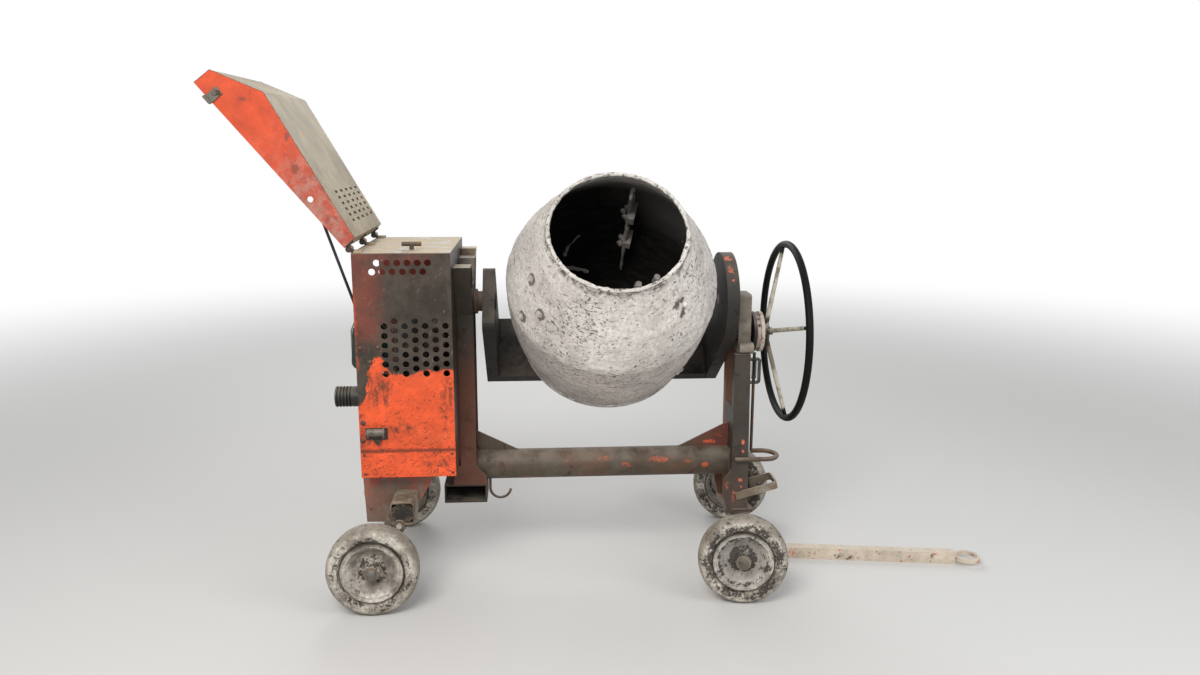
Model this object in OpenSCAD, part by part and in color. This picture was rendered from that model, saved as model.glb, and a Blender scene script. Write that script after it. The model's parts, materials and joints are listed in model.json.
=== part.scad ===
// Portable four-wheel site mixer with a tilting drum. Millimetres, +Z up.
// X runs along the machine towards the drawbar, -Y is the side that the drum's mouth faces.
// The origin is on the ground, below the middle of the machine's overall box.

/* [Running gear] */
// Distance between the middles of a pair of tyres
track = 784; // [740:2:900]
// Outside diameter of a solid tyre
tyre_d = 325; // [290:1:380]
// Width of a tyre
tyre_w = 88; // [70:1:100]
// Diameter of the rim under the tyre
rim_d = 228; // [190:1:240]
// Diameter of the stub axles
stub_d = 30; // [24:1:34]
// Angle to which the front axle is steered, towards the mouth side
steer_rest = 8.6; // [0:0.1:15]
// Angle to which the front axle steers to either side
steer_max = 35; // [20:1:40]
// Distance from the king pin to the middle of the tow eye
bar_len = 920; // [700:5:1100]
// Side of the drawbar's square tube
bar_w = 45; // [38:1:50]
// Angle to which the drawbar lifts
bar_up = 80; // [60:1:85]

/* [Frame] */
// Outside diameter of the main tube
tube_d = 114.3; // [90:0.1:130]
// Wall of the main tube
tube_wall = 6; // [4:0.5:10]
// Height of the main tube's axis
tube_z = 407; // [395:1:430]
// Width of a stand leg at its foot
leg_w = 66; // [60:1:80]
// Width of a stand leg at its top
leg_top_w = 60; // [54:1:66]
// Depth of a stand leg across the machine
leg_d = 40; // [30:1:50]
// Height of the stand legs' top
leg_top = 852; // [830:1:856]
// Wall of the stand legs
leg_wall = 6; // [4:0.5:8]
// Distance of a leg's left edge before the king pin
leg_ahead = 44; // [40:1:50]
// Width of the yoke's left support along the machine
post_w = 60; // [50:1:64]

/* [Engine housing] */
// Width of the housing along the machine
case_w = 334; // [320:1:345]
// Depth of the housing across the machine
case_d = 580; // [560:1:600]
// Height of the housing's lower edge
case_z = 464; // [455:1:470]
// Height of the skirt below the hood
skirt_h = 98; // [80:1:110]
// Height of the housing's top
case_top = 1266; // [1240:1:1300]
// Thickness of the housing's sheet
sheet = 3; // [2:0.5:4]
// Diameter of a hole in the housing
hole_d = 23; // [15:0.5:26]
// Angle by which the hood stands open
hood_open = 140; // [120:1:145]
// Depth of the hood at its fullest
hood_bulge = 149; // [125:1:160]
// Angle by which the prop rod folds down while the hood closes
prop_swing = 148; // [140:1:150]

/* [Drum and yoke] */
// Height of the trunnions, about which drum and yoke tilt
trunnion_z = 1051; // [1040:1:1070]
// Angle of the drum's axis above the horizontal at rest
drum_elev = 40; // [30:1:50]
// Tilt from rest to the drum standing upright
tilt_up = -50; // [-50:1:-30]
// Tilt from rest to the drum emptied out
tilt_down = 90; // [60:1:95]
// Largest radius of the drum
drum_r = 386; // [360:1:390]
// Radius of the drum's mouth
mouth_r = 243; // [220:1:260]
// Radius of the rolled edge round the mouth
lip_r = 8; // [5:0.5:9]
// Wall of the drum
drum_wall = 4; // [3:0.5:6]
// Distance of the yoke's base plate behind the trunnions
yoke_base = 372; // [366:1:390]
// Space between the drum and the yoke's left arm
drum_gap_left = 46; // [40:1:60]
// Space between the drum and the yoke's right arm
drum_gap_right = 34; // [28:1:50]
// Width of the yoke's strip
yoke_w = 270; // [250:1:290]
// Thickness of the yoke's plate
yoke_t = 8; // [6:0.5:10]
// Width of the yoke's flanges
flange_w = 46; // [40:1:48]
// Radius of the cover round the tilt gear
pan_r = 180; // [180:1:186]

/* [Tilt drive] */
// Tooth module of the tilt gears
gear_module = 5; // [5:0.5:5]
// Teeth of the gear on the trunnion
gear_teeth = 36; // [36:1:36]
// Teeth of the pinion on the handwheel's shaft
pinion_teeth = 15; // [15:1:15]
// Outside diameter of the handwheel
handwheel_d = 700; // [600:5:720]
// Diameter of the handwheel's rim tube
handwheel_tube = 28; // [20:1:32]
// Radius of the notched disc
disc_r = 78; // [70:1:80]

/* [Hidden] */

// Fit of a shaft that turns in its bore, on the radius
run_gap = 0.06;
// Gap between faces that turn past each other
face_gap = 0.3;
// Smoothness of true circles
$fn = 96;

// Colours as the photograph shows them
paint_orange = [0.86, 0.27, 0.10];
worn_brown = [0.30, 0.24, 0.20];
rust_brown = [0.33, 0.20, 0.14];
cement = [0.78, 0.75, 0.72];
dust = [0.62, 0.57, 0.47];
black_paint = [0.05, 0.05, 0.05];
dark_green = [0.04, 0.15, 0.10];
dark_iron = [0.12, 0.13, 0.12];
bare_steel = [0.50, 0.48, 0.45];

tyre_r = tyre_d / 2;
rim_r = rim_d / 2;
stub_r = stub_d / 2;
tube_r = tube_d / 2;

// Vectors, rounded corners and outlines set in by a wall
function unit(v) = v / norm(v);
function corner(a, b, c, r, n) =
    let (u = unit(a - b), v = unit(c - b), half = acos(u * v) / 2,
         m = b + unit(u + v) * r / sin(half),
         s = b + u * r / tan(half), e = b + v * r / tan(half),
         a0 = atan2(s[1] - m[1], s[0] - m[0]), a1 = atan2(e[1] - m[1], e[0] - m[0]),
         turn = ((a1 - a0 + 540) % 360) - 180)
    [for (k = [0:n]) m + r * [cos(a0 + turn * k / n), sin(a0 + turn * k / n)]];
// Closed outline of [x, y, radius] rows with its corners rounded
function rounded(rows, n = 4) =
    [for (i = [0:len(rows) - 1])
        let (p = [rows[i][0], rows[i][1]], r = rows[i][2],
             q = rows[(i + len(rows) - 1) % len(rows)], s = rows[(i + 1) % len(rows)])
        each (r > 0 ? corner([q[0], q[1]], p, [s[0], s[1]], r, n) : [p])];
// Open outline of such rows
function open_rounded(rows, n = 5) =
    [for (i = [0:len(rows) - 1])
        let (p = [rows[i][0], rows[i][1]])
        each (i > 0 && i < len(rows) - 1 && rows[i][2] > 0
              ? corner([rows[i - 1][0], rows[i - 1][1]], p, [rows[i + 1][0], rows[i + 1][1]], rows[i][2], n) : [p])];
function reversed(v) = [for (i = [len(v) - 1:-1:0]) v[i]];
// Anticlockwise outline with each side moved inwards by t
function left_of(v) = [-v[1], v[0]];
function inset(points, t) =
    [for (i = [0:len(points) - 1])
        let (n = len(points), p = points[i],
             u = left_of(unit(p - points[(i + n - 1) % n])), v = left_of(unit(points[(i + 1) % n] - p)))
        p + t * (u + v) / (1 + u * v)];

// Shapes along the axes
// Cylinder along X from x0 to x1
module rod_x(r, x0, x1) translate([x0, 0, 0]) rotate([0, 90, 0]) cylinder(r = r, h = x1 - x0);
// Cylinder along Y from y0 to y1
module rod_y(r, y0, y1) translate([0, y1, 0]) rotate([90, 0, 0]) cylinder(r = r, h = y1 - y0);
// Plate of a profile in X and Z, from y0 to y1
module plate_y(y0, y1) translate([0, y1, 0]) rotate([90, 0, 0]) linear_extrude(y1 - y0) children();
// Plate of a profile in Y and Z, from x0 to x1
module plate_x(x0, x1) translate([x0, 0, 0]) rotate([90, 0, 90]) linear_extrude(x1 - x0) children();
module block(x0, x1, y0, y1, z0, z1) translate([x0, y0, z0]) cube([x1 - x0, y1 - y0, z1 - z0]);
// The same form on the near and on the far side
module both_sides() for (side = [0, 1]) mirror([0, side, 0]) children();

// Housing, seen from the mouth side: left, right, near and far faces
case_x0 = -43;
case_x1 = case_x0 + case_w;
case_y = case_d / 2;
seam_z = case_z + skirt_h;

// Stand and yoke along the machine, from the housing to the handwheel
post_x0 = case_x1;
post_x1 = case_x1 + post_w;
post_gap = 33;
yoke_x0 = post_x1 + post_gap;
yoke_left = drum_r + drum_gap_left;
yoke_right = drum_r + drum_gap_right;
drum_x = yoke_x0 + flange_w + yoke_left;
yoke_x1 = drum_x + yoke_right + flange_w;
head_gap = 24;
head_t = 48;
head_x0 = yoke_x1 + head_gap;
head_x1 = head_x0 + head_t;
leg_set = 16;
leg_x = head_x0 - leg_set;
leg_x1 = leg_x + leg_w;
leg_lean = 2;
wheelbase = leg_x + leg_ahead;

// Hood section: [distance from its free end, depth], the last two points at the hinge
hood_len = case_top - seam_z;
hood_section = [[0, 0], [3, 66], [163, hood_bulge], [hood_len - 4, 50], [hood_len, 0]];
hood_lift = 12;
hood_gap = 2;
hinge_x = case_x0 - 8;
hinge_z = case_top + hood_lift;
hinge_pin_r = 6;

// Drum: [distance from the trunnion line towards the mouth, radius, rounding]
mouth_end = 450;
cone_start = 146;
floor_start = -250;
drum_floor = -336;
cone_rows = [[cone_start, drum_r - 1, 0], [250, drum_r - 28, 250], [mouth_end, mouth_r, 0]];
shell_rows = [[floor_start, drum_r - 54, 0], [60, drum_r + 2, 200], [cone_start, drum_r - 1, 0]];
floor_rows = [[drum_floor, 0, 0], [drum_floor, drum_r - 102, 35], [floor_start, drum_r - 54, 0]];
lip_s = mouth_end + lip_r;
lip_mid_r = mouth_r - 4;

// Overall length: from the open hood's free corner to the tow eye
eye_r = 50;
eye_hole_r = 38;
eye_t = 14;
x_high = wheelbase + bar_len * cos(steer_rest) + eye_r;
x_low = hinge_x + (case_x0 - hinge_x - hood_gap) * cos(hood_open) - (hood_len + hood_lift) * sin(hood_open);
mid_x = (x_high + x_low) / 2;

// Overall width: from the drum's mouth to the steered front wheel on the far side
tyre_half = tyre_w / 2;
tyre_outline = rounded([[rim_r, -tyre_half + 8, 0], [rim_r + 12, -tyre_half, 0], [tyre_r, -tyre_half, 30],
                        [tyre_r, tyre_half, 30], [rim_r + 12, tyre_half, 0], [rim_r, tyre_half - 8, 0]]);
y_low = -lip_mid_r * sin(drum_elev) - lip_s * cos(drum_elev) - lip_r;
y_high = track / 2 * cos(steer_rest) + max([for (p = tyre_outline) p[1] * cos(steer_rest) + p[0] * sin(steer_rest)]);
mid_y = (y_low + y_high) / 2;

// Frames of the moving groups
module at_front() translate([wheelbase, 0, 0]) rotate([0, 0, -steer_rest]) children();
module at_trunnion() translate([drum_x, 0, trunnion_z]) rotate([90 - drum_elev, 0, 0]) children();
module at_hinge() translate([hinge_x, 0, hinge_z]) rotate([0, hood_open, 0]) children();
module at_shaft() translate([0, 0, shaft_z]) children();
module centred() translate([-mid_x, -mid_y, 0]) children();

// Wheels: solid tyres on pressed, dished rims
hub_r = stub_r + 15;
hub_half = tyre_half - 4;
dish_r = 68;
disc_t = 5;
lip_in = 5;
rim_rows = [[stub_r + run_gap, -hub_half], [hub_r, -hub_half], [hub_r, -14], [dish_r, -12],
            [dish_r + 20, -tyre_half + 18], [rim_r - 12, -tyre_half + 14], [rim_r - 6, -tyre_half + lip_in],
            [rim_r, -tyre_half + lip_in], [rim_r, tyre_half - lip_in], [rim_r - 6, tyre_half - lip_in],
            [rim_r - 6, -tyre_half + 22], [dish_r + 20, -tyre_half + 18 + disc_t], [dish_r, -12 + disc_t],
            [hub_r, -14 + disc_t], [hub_r, hub_half], [stub_r + run_gap, hub_half]];
module wheel_frame(side) translate([0, side * track / 2, tyre_r]) rotate([side * 90, 0, 0]) children();
module tyre_form() rotate_extrude() polygon(tyre_outline);
module rim_form() rotate_extrude() polygon(rim_rows);
module tyre(side) centred() color(cement) wheel_frame(side) tyre_form();
module rim(side) centred() color(cement) wheel_frame(side) rim_form();
module front_tyre(side) centred() at_front() color(cement) wheel_frame(side) tyre_form();
module front_rim(side) centred() at_front() color(cement) wheel_frame(side) rim_form();

// Stub axle with its collar behind the wheel and its washer and nut in front, along Y
washer_t = 5;
stub_inner = track / 2 - hub_half - face_gap;
stub_outer = track / 2 + hub_half + face_gap;
module stubs() both_sides() translate([0, 0, tyre_r]) {
    rod_y(stub_r, stub_inner - 40, stub_outer + washer_t + 12);
    rod_y(hub_r - 4, stub_inner - 12, stub_inner);
    rod_y(hub_r - 4, stub_outer, stub_outer + washer_t);
}

// Rear axle: a tube across the bracket, clamped at each end by an arm that carries the stub
beam_x = 104;
beam_z = 345;
beam_r = 29;
arm_y = track / 2 - tyre_half - 10;
arm_t = 26;
arm_pin = [90, 302];
module rear_axle() centred() color(rust_brown) {
    translate([beam_x, 0, beam_z]) rod_y(beam_r, -arm_y, arm_y);
    stubs();
    both_sides() {
        plate_y(arm_y - arm_t, arm_y) difference() {
            union() {
                translate([beam_x, beam_z]) circle(r = beam_r + 9);
                translate([0, tyre_r]) circle(r = hub_r);
                polygon([[beam_x - 42, beam_z + 16], [beam_x - 12, beam_z + 30], [beam_x + 34, beam_z - 8],
                         [24, tyre_r - 18], [-24, tyre_r + 18]]);
            }
            translate([beam_x - 12, beam_z + 22]) rotate(-14) square([66, 7], center = true);
        }
        translate([arm_pin[0], 0, arm_pin[1]]) {
            rod_y(20, arm_y, arm_y + 9);
            rod_y(10, arm_y + 9, arm_y + 16);
        }
    }
}

// Bracket below the housing: two plates and their floor
bracket_y = 205;
bracket_t = 8;
bracket_low = 262;
bracket_x0 = case_x0 - 12;
bracket_x1 = beam_x + 100;
module rear_bracket() centred() color(rust_brown) {
    both_sides() plate_y(bracket_y - bracket_t, bracket_y) difference() {
        polygon([[bracket_x0, case_z], [bracket_x0 + 8, bracket_low], [beam_x - 60, bracket_low],
                 [beam_x + 36, beam_z - 26], [bracket_x1, case_z - 24], [bracket_x1, case_z]]);
        translate([beam_x, beam_z]) circle(r = beam_r);
    }
    block(bracket_x0, bracket_x1, -bracket_y + bracket_t, bracket_y - bracket_t, case_z - bracket_t, case_z);
}

// Main tube with its gussets at both ends
post_wall = 8;
tube_x0 = post_x0 + post_wall;
tube_x1 = leg_x1 - 10;
gusset_t = 8;
module main_tube() centred() color(rust_brown) {
    translate([0, 0, tube_z]) difference() {
        rod_x(tube_r, tube_x0, tube_x1);
        rod_x(tube_r - tube_wall, tube_x0 + 6, tube_x1 - 6);
    }
    top = tube_z + tube_r - 3;
    plate_y(-gusset_t / 2, gusset_t / 2) {
        polygon([[post_x1, top], [post_x1 + 165, top], [post_x1, top + 82]]);
        polygon([[leg_x - 205, top], [leg_x, top], [leg_x, top + 102]]);
    }
}

// Housing: a skirt with its floor, near and far panels with holes, the panel beside the support, and the top
hole_pitch = 34.5;
row_pitch = 33.8;
top_row_z = case_top - 34;
grid_top_z = case_top - 236;
// Rows of holes: [first hole's x, height, number of holes]
upper_rows = [[case_x0 + 84, top_row_z, 6], [case_x0 + 67, top_row_z - 30.5, 6]];
// Columns of the grid of holes: every second one is set down by half a pitch
grid_columns = [for (i = [0:6]) [case_x0 + 101 + i * (row_pitch + 1.2), grid_top_z - (i % 2 == 0 ? row_pitch / 2 + 1 : 0), 6]];
module skirt() centred() color(paint_orange) difference() {
    block(case_x0, case_x1, -case_y, case_y, case_z, seam_z);
    block(case_x0 + sheet, case_x1 - sheet, -case_y + sheet, case_y - sheet, case_z + sheet, seam_z + 1);
}
module panel_y(y0) plate_y(y0, y0 + sheet) difference() {
    translate([case_x0, seam_z]) square([case_w, case_top - seam_z - sheet]);
    for (row = upper_rows, i = [0:row[2] - 1]) translate([row[0] + i * hole_pitch, row[1]]) circle(d = hole_d, $fn = 24);
    for (column = grid_columns, i = [0:column[2] - 1])
        translate([column[0], column[1] - i * row_pitch]) circle(d = hole_d, $fn = 24);
}
module front_panel() centred() color(worn_brown) panel_y(-case_y);
module back_panel() centred() color(worn_brown) panel_y(case_y - sheet);
module side_panel() centred() color(worn_brown)
    block(case_x1 - sheet, case_x1, -case_y + sheet, case_y - sheet, seam_z, case_top - sheet);
module top_panel() centred() color(dust) block(case_x0, case_x1, -case_y, case_y, case_top - sheet, case_top);
handle_z = 19;
module top_handle() centred() color(worn_brown) translate([case_x0 + 190, -170, case_top]) {
    cylinder(r = 8, h = handle_z);
    translate([0, 0, handle_z]) rod_x(8, -34, 34);
}

// Keeper on the near panel, which the hood's latch closes over
catch_x = case_x0 + 60;
catch_z = seam_z + 66;
module hood_catch() centred() color(bare_steel) translate([catch_x, -case_y, catch_z]) {
    block(-38, 38, -6, 0, -21, 21);
    translate([0, -18, 8]) rod_x(11, -32, 28);
    for (x = [-26, 16]) block(x, x + 8, -18, -6, -2, 18);
    plate_y(-12, -6) polygon([[-12, -21], [16, -21], [4, -44]]);
}

// Engine that stands on the housing's floor: crankcase, finned cylinder, head and cover
engine_x = case_x0 + 172;
engine_z = case_z + sheet;
crank_h = 190;
fin_pitch = 15;
fin_rows = 8;
cylinder_z = engine_z + crank_h;
crank_z = engine_z + 140;
head_z = cylinder_z + fin_rows * fin_pitch;
module engine() centred() color(dark_iron) translate([engine_x, 0, 0]) {
    plate_y(-100, 120) polygon(rounded([[-100, engine_z, 0], [100, engine_z, 0], [100, engine_z + 22, 0], [82, engine_z + 40, 0],
                                        [82, cylinder_z, 24], [-82, cylinder_z, 24], [-82, engine_z + 40, 0], [-100, engine_z + 22, 0]]));
    translate([0, 0, crank_z]) {
        rod_y(48, -116, -100);
        rod_y(34, -132, -116);
        rod_y(30, 120, 150);
    }
    block(-50, 50, -44, 64, cylinder_z, head_z);
    for (i = [0:fin_rows - 1]) block(-70, 70, -64, 84, cylinder_z + 5 + i * fin_pitch, cylinder_z + 11 + i * fin_pitch);
    block(-66, 66, -60, 80, head_z, head_z + 44);
    plate_y(-46, 66) polygon(rounded([[-48, head_z + 44, 0], [48, head_z + 44, 0], [48, head_z + 92, 16], [-48, head_z + 92, 16]]));
}
// Flywheel with its ring of fan blades, on the far end of the crankshaft
fly_r = 132;
fly_blades = 18;
module flywheel() centred() color(dark_iron) translate([engine_x, 0, crank_z]) difference() {
    union() {
        rod_y(fly_r, 150, 172);
        rod_y(58, 172, 190);
        for (i = [0:fly_blades - 1]) rotate([0, i * 360 / fly_blades, 0]) block(-3, 3, 172, 190, 78, fly_r - 6);
    }
    rod_y(14, 149, 191);
}
// Silencer above the head, with the pipe that leads to it
silencer_x = 82;
silencer_r = 42;
module silencer() centred() color(rust_brown) translate([engine_x + silencer_x, 0, head_z + 150]) {
    rod_y(silencer_r, -110, 110);
    for (y = [-118, 110]) rod_y(silencer_r - 12, y, y + 8);
    translate([-silencer_x + 66, 20, -150 + 22]) rod_x(17, 0, 36);
    translate([-silencer_x + 85, 20, -150 + 22]) cylinder(r = 17, h = 150 - 22 - 34);
}
tank_x0 = case_x0 - 25;
tank_x1 = case_x0 + 100;
tank_z0 = 852;
tank_z1 = 1016;
module fuel_tank() centred() color(dark_green) {
    plate_y(-250, -110) polygon(rounded([[tank_x0, tank_z0, 26], [tank_x1, tank_z0, 26], [tank_x1, tank_z1, 30],
                                         [tank_x0 + 12, tank_z1, 30]]));
    translate([tank_x0 + 52, -180, tank_z1]) cylinder(r = 24, h = 16);
    block(tank_x1 - 40, tank_x1 + 30, -200, -130, tank_z0 - 8, tank_z0);
    block(tank_x1 + 22, tank_x1 + 30, -200, -60, head_z + 10, tank_z0);
}
cleaner_y = -196;
cleaner_z = 740;
module air_cleaner() centred() color(black_paint) translate([0, cleaner_y, cleaner_z]) {
    rod_x(24, case_x0 - 10, engine_x - 58);
    rod_x(31, case_x0 - 92, case_x0 - 34);
    rod_x(34, case_x0 - 34, case_x0 - 10);
    rod_x(12, engine_x - 60, engine_x - 20);
    translate([engine_x - 20, 0, 0]) rod_y(12, 0, 96);
    translate([engine_x - 20, 96, 0]) cylinder(r = 12, h = 59);
    translate([engine_x - 20, 0, 59]) rod_y(12, 96, -cleaner_y - 60);
}

// Left support of the yoke: a channel whose head forks into two horns, on a foot beside the tube
post_half = 75;
post_low = 426;
horn_z = 1203;
horn_y = 205;
boss_l_r = 62;
trunnion_l_r = 38;
trunnion_r_r = 20;
post_outline = [[-post_half, post_low], [post_half, post_low], [post_half, 1010], [horn_y, horn_z], [100, horn_z],
                [60, 1120], [-60, 1120], [-100, horn_z], [-horn_y, horn_z], [-post_half, 1010]];
module left_post() centred() color(worn_brown) {
    difference() {
        union() {
            plate_x(post_x0, post_x1) difference() {
                polygon(post_outline);
                polygon(inset(post_outline, post_wall));
                translate([-post_half + post_wall, post_low - 1]) square([2 * (post_half - post_wall), post_wall + 2]);
            }
            plate_x(post_x0, post_x0 + post_wall) polygon(post_outline);
            translate([0, 0, trunnion_z]) rod_x(boss_l_r, post_x0, post_x1);
        }
        translate([0, 0, trunnion_z]) rod_x(trunnion_l_r + run_gap, post_x0 - 1, post_x1 + 1);
    }
    both_sides() plate_y(post_half - post_wall, post_half)
        polygon([[post_x0 - 15, post_low], [post_x0 - 31, pocket_z1], [post_x0 + 97, pocket_z1],
                 [post_x0 + 97, pocket_z1 + 30], [post_x1, post_low]]);
}
cover_z = 1228;
module drive_cover() centred() color(dust) plate_y(horn_y + 3, case_y - 4)
    polygon([[case_x1, cover_z - 143], [case_x1 + 30, cover_z - 143], [case_x1 + 47, cover_z - 118],
             [case_x1 + 58, cover_z], [case_x1, cover_z]]);

// Right stand: two channel legs beside the tube, tied by a plate, with a gusset at each foot
king_z = 232;
leg_y = tube_r + leg_d;
tie_z = 700;
tie_x = leg_x + 58;
leg_top_x = leg_x - leg_lean;
module stand_legs() centred() color(worn_brown) {
    both_sides() {
        difference() {
            plate_y(tube_r, leg_y)
                polygon([[leg_x, king_z], [leg_x1, king_z], [leg_top_x + leg_top_w, leg_top], [leg_top_x, leg_top]]);
            plate_y(tube_r + leg_wall, leg_y - leg_wall)
                polygon([[leg_x + leg_wall, king_z + 10], [leg_x1 + 1, king_z + 10], [leg_x1 + 1, leg_top - 10],
                         [leg_top_x + leg_wall, leg_top - 10]]);
        }
        plate_y(leg_y - gusset_t, leg_y)
            polygon([[leg_x, king_z], [leg_x, king_z + 164], [leg_x - 32, king_z + 122], [leg_x - 30, king_z + 60],
                     [leg_x - 14, king_z]]);
    }
    block(tie_x - leg_wall, tie_x, -tube_r, tube_r, tie_z, leg_top - 22);
    block(leg_x, leg_x + leg_wall, -tube_r, tube_r, tube_z + tube_r + 0.5, tie_z - 60);
}

// Head on the legs: a cross bar with round ends, and the block that carries trunnion and handwheel
bar_h = 42;
bar_reach = 6;
head_half = 60;
head_top = trunnion_z + 25;
shaft_r = 15;
shaft_z = trunnion_z - gear_module * (gear_teeth + pinion_teeth) / 2;
module stand_head() centred() color(bare_steel) difference() {
    union() {
        block(head_x0, head_x1 + bar_reach, -leg_y + bar_h / 2, leg_y - bar_h / 2, leg_top, leg_top + bar_h);
        both_sides() translate([0, leg_y - bar_h / 2, leg_top + bar_h / 2]) rod_x(bar_h / 2, head_x0, head_x1 + bar_reach);
        plate_x(head_x0, head_x1)
            polygon(rounded([[-head_half, leg_top + bar_h - 5, 0], [head_half, leg_top + bar_h - 5, 0],
                             [head_half, head_top, 14], [-head_half, head_top, 14]]));
    }
    translate([0, 0, trunnion_z]) rod_x(trunnion_r_r + run_gap, head_x0 - 1, head_x1 + 1);
    translate([0, 0, shaft_z]) rod_x(shaft_r + run_gap, leg_x, head_x1 + bar_reach + 1);
}

// King plate below the legs
king_t = 14;
king_r = 20;
module king_plate() centred() color(worn_brown) difference() {
    block(leg_x - 20, leg_x1 + 20, -leg_y, leg_y, king_z - king_t, king_z);
    translate([wheelbase, 0, king_z - king_t - 1]) cylinder(r = king_r + run_gap, h = king_t + 2);
}

// Lifting pocket and hook under the tube
pocket_w = 162;
pocket_h = 72;
pocket_t = 6;
pocket_x = post_x0 - 65;
pocket_z1 = tube_z - tube_r;
module fork_pocket() centred() color(rust_brown) difference() {
    block(pocket_x, pocket_x + pocket_w, -post_half, post_half, pocket_z1 - pocket_h, pocket_z1);
    block(pocket_x + pocket_t, pocket_x + pocket_w - pocket_t, -post_half - 1, post_half + 1,
          pocket_z1 - pocket_h + pocket_t, pocket_z1 - pocket_t);
}
hook_bar = 5;
hook_x = pocket_x + pocket_w + 5 + hook_bar;
hook_r = 40;
hook_drop = 42;
module tube_hook() centred() color(rust_brown) translate([hook_x, 0, pocket_z1 - hook_drop]) {
    cylinder(r = hook_bar, h = hook_drop);
    translate([hook_r, 0, 0]) rotate([90, 0, 0]) rotate([0, 0, 180]) rotate_extrude(angle = 172)
        translate([hook_r, 0]) circle(r = hook_bar, $fn = 24);
}

disc_x = head_x1 + 11;
disc_w = 41;
// Lock bolt in its frame below the notched disc, withdrawn, and the pedal that pulls it down
lock_x = disc_x + disc_w / 2;
frame_z1 = shaft_z - disc_r - 29;
frame_z0 = frame_z1 - 100;
frame_bar = 7;
frame_w = 62;
bolt_r = 6;
bolt_clear = 6;
pedal_z = 439;
pedal_bar = 9;
pedal_y = leg_y + pedal_bar;
pedal_turn_x = lock_x + 35.5;
module lock_bolt() centred() color(black_paint) {
    plate_y(-14, 14) difference() {
        polygon(rounded([[tie_x, frame_z0, 0], [tie_x + frame_w, frame_z0, 14], [tie_x + frame_w, frame_z1, 5], [tie_x, frame_z1, 0]]));
        translate([tie_x + frame_bar, frame_z0 + frame_bar]) square([frame_w - 2 * frame_bar, frame_z1 - frame_z0 - 2 * frame_bar]);
    }
    translate([lock_x, 0, frame_z0 + frame_bar]) cylinder(r = bolt_r, h = shaft_z - disc_r - bolt_clear - frame_z0 - frame_bar);
    translate([lock_x, 0, frame_z0 + 20]) cylinder(r = bolt_r + 4, h = 5);
}
module lock_pedal() centred() color(worn_brown) {
    translate([0, -pedal_y, pedal_z]) rod_x(pedal_bar, leg_x + 8, pedal_turn_x);
    translate([0, 0, pedal_z]) rod_x(pedal_bar, lock_x, pedal_turn_x);
    translate([pedal_turn_x, -pedal_y / 2, pedal_z]) rotate([0, 0, -90]) rotate_extrude(angle = 180)
        translate([pedal_y / 2, 0]) circle(r = pedal_bar, $fn = 24);
    translate([lock_x, 0, pedal_z]) cylinder(r = 6, h = frame_z0 - pedal_z);
}

// Flat loop at the near leg's foot
clip_t = 6;
clip_h = 30;
clip_len = 172;
clip_tip = 15.5;
clip_far = 80;
module bar_clip() centred() color(worn_brown) translate([leg_x + 36, 0, king_z + 60]) rotate([0, -clip_tip, 0])
    translate([-20, 0, -clip_h / 2]) linear_extrude(clip_h) difference() {
        polygon(rounded([[0, -leg_y - clip_t, 0], [clip_len, -leg_y - clip_t, 16], [clip_len, clip_t, 16], [clip_far, clip_t, 0],
                         [clip_far, 0, 0], [0, -1, 0]]));
        polygon(rounded([[-1, -leg_y, 0], [clip_len - clip_t, -leg_y, 10], [clip_len - clip_t, 0, 10], [-1, 0, 0]]));
    }

// Hood, closed along the left side, then turned about its hinge
knuckle_r = 11;
knuckle_half = 9;
leaf_t = 6;
hinge_rows = [-262, 0, 262];
panel_from = hood_section[2];
panel_to = hood_section[3];
panel_lean = atan2(panel_from[1] - panel_to[1], panel_to[0] - panel_from[0]);
// Slots in the hood's outer panel: rows from this distance along it, columns across it
slot_rows = [for (i = [0:5]) 377 + i * 22.6];
slot_columns = [for (i = [-2:2]) 44 + i * 92];
module on_panel(along) translate([-panel_from[1], 0, panel_from[0] - hood_len]) rotate([0, panel_lean, 0])
    translate([0, 0, along]) children();
module hood_outline() polygon([for (p = hood_section) [-p[1], p[0] - hood_len]]);
module hood() centred() color(paint_orange) at_hinge() {
    translate([case_x0 - hinge_x - hood_gap, 0, -hood_lift]) difference() {
        plate_y(-case_y, case_y) hood_outline();
        translate([sheet, 0, 0]) plate_y(-case_y + sheet, case_y - sheet) hood_outline();
        for (s = slot_rows, y = slot_columns) on_panel(s) block(-sheet, 2 * sheet, y - 21, y + 21, -5, 5);
        on_panel(481) translate([0, 258, 0]) rod_x(7, -sheet, 2 * sheet);
        translate([-26, 0, 512 - hood_len]) rod_y(10, -case_y - 1, -case_y + sheet + 1);
    }
    for (y = hinge_rows) difference() {
        union() {
            translate([0, y, 0]) rod_y(knuckle_r, -knuckle_half, knuckle_half);
            block(-30, 0, y - knuckle_half, y + knuckle_half, -hood_lift - sheet, -knuckle_r + 3);
        }
        rod_y(hinge_pin_r + run_gap, y - knuckle_half - 1, y + knuckle_half + 1);
    }
}
module hood_hinges() centred() color(rust_brown) for (y = hinge_rows) {
    translate([hinge_x, y, hinge_z]) rod_y(hinge_pin_r, -knuckle_half - 12, knuckle_half + 12);
    for (side = [-1, 1]) {
        y0 = y + side * (knuckle_half + face_gap + 5) - 5;
        translate([hinge_x, y0, hinge_z]) rod_y(knuckle_r, 0, 10);
        block(hinge_x, case_x0 + 34, y0, y0 + 10, case_top + 2, case_top + 2 + leaf_t);
        block(case_x0, case_x0 + 34, y0, y0 + 10, case_top, case_top + 3);
    }
}
latch_t = 5;
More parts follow.
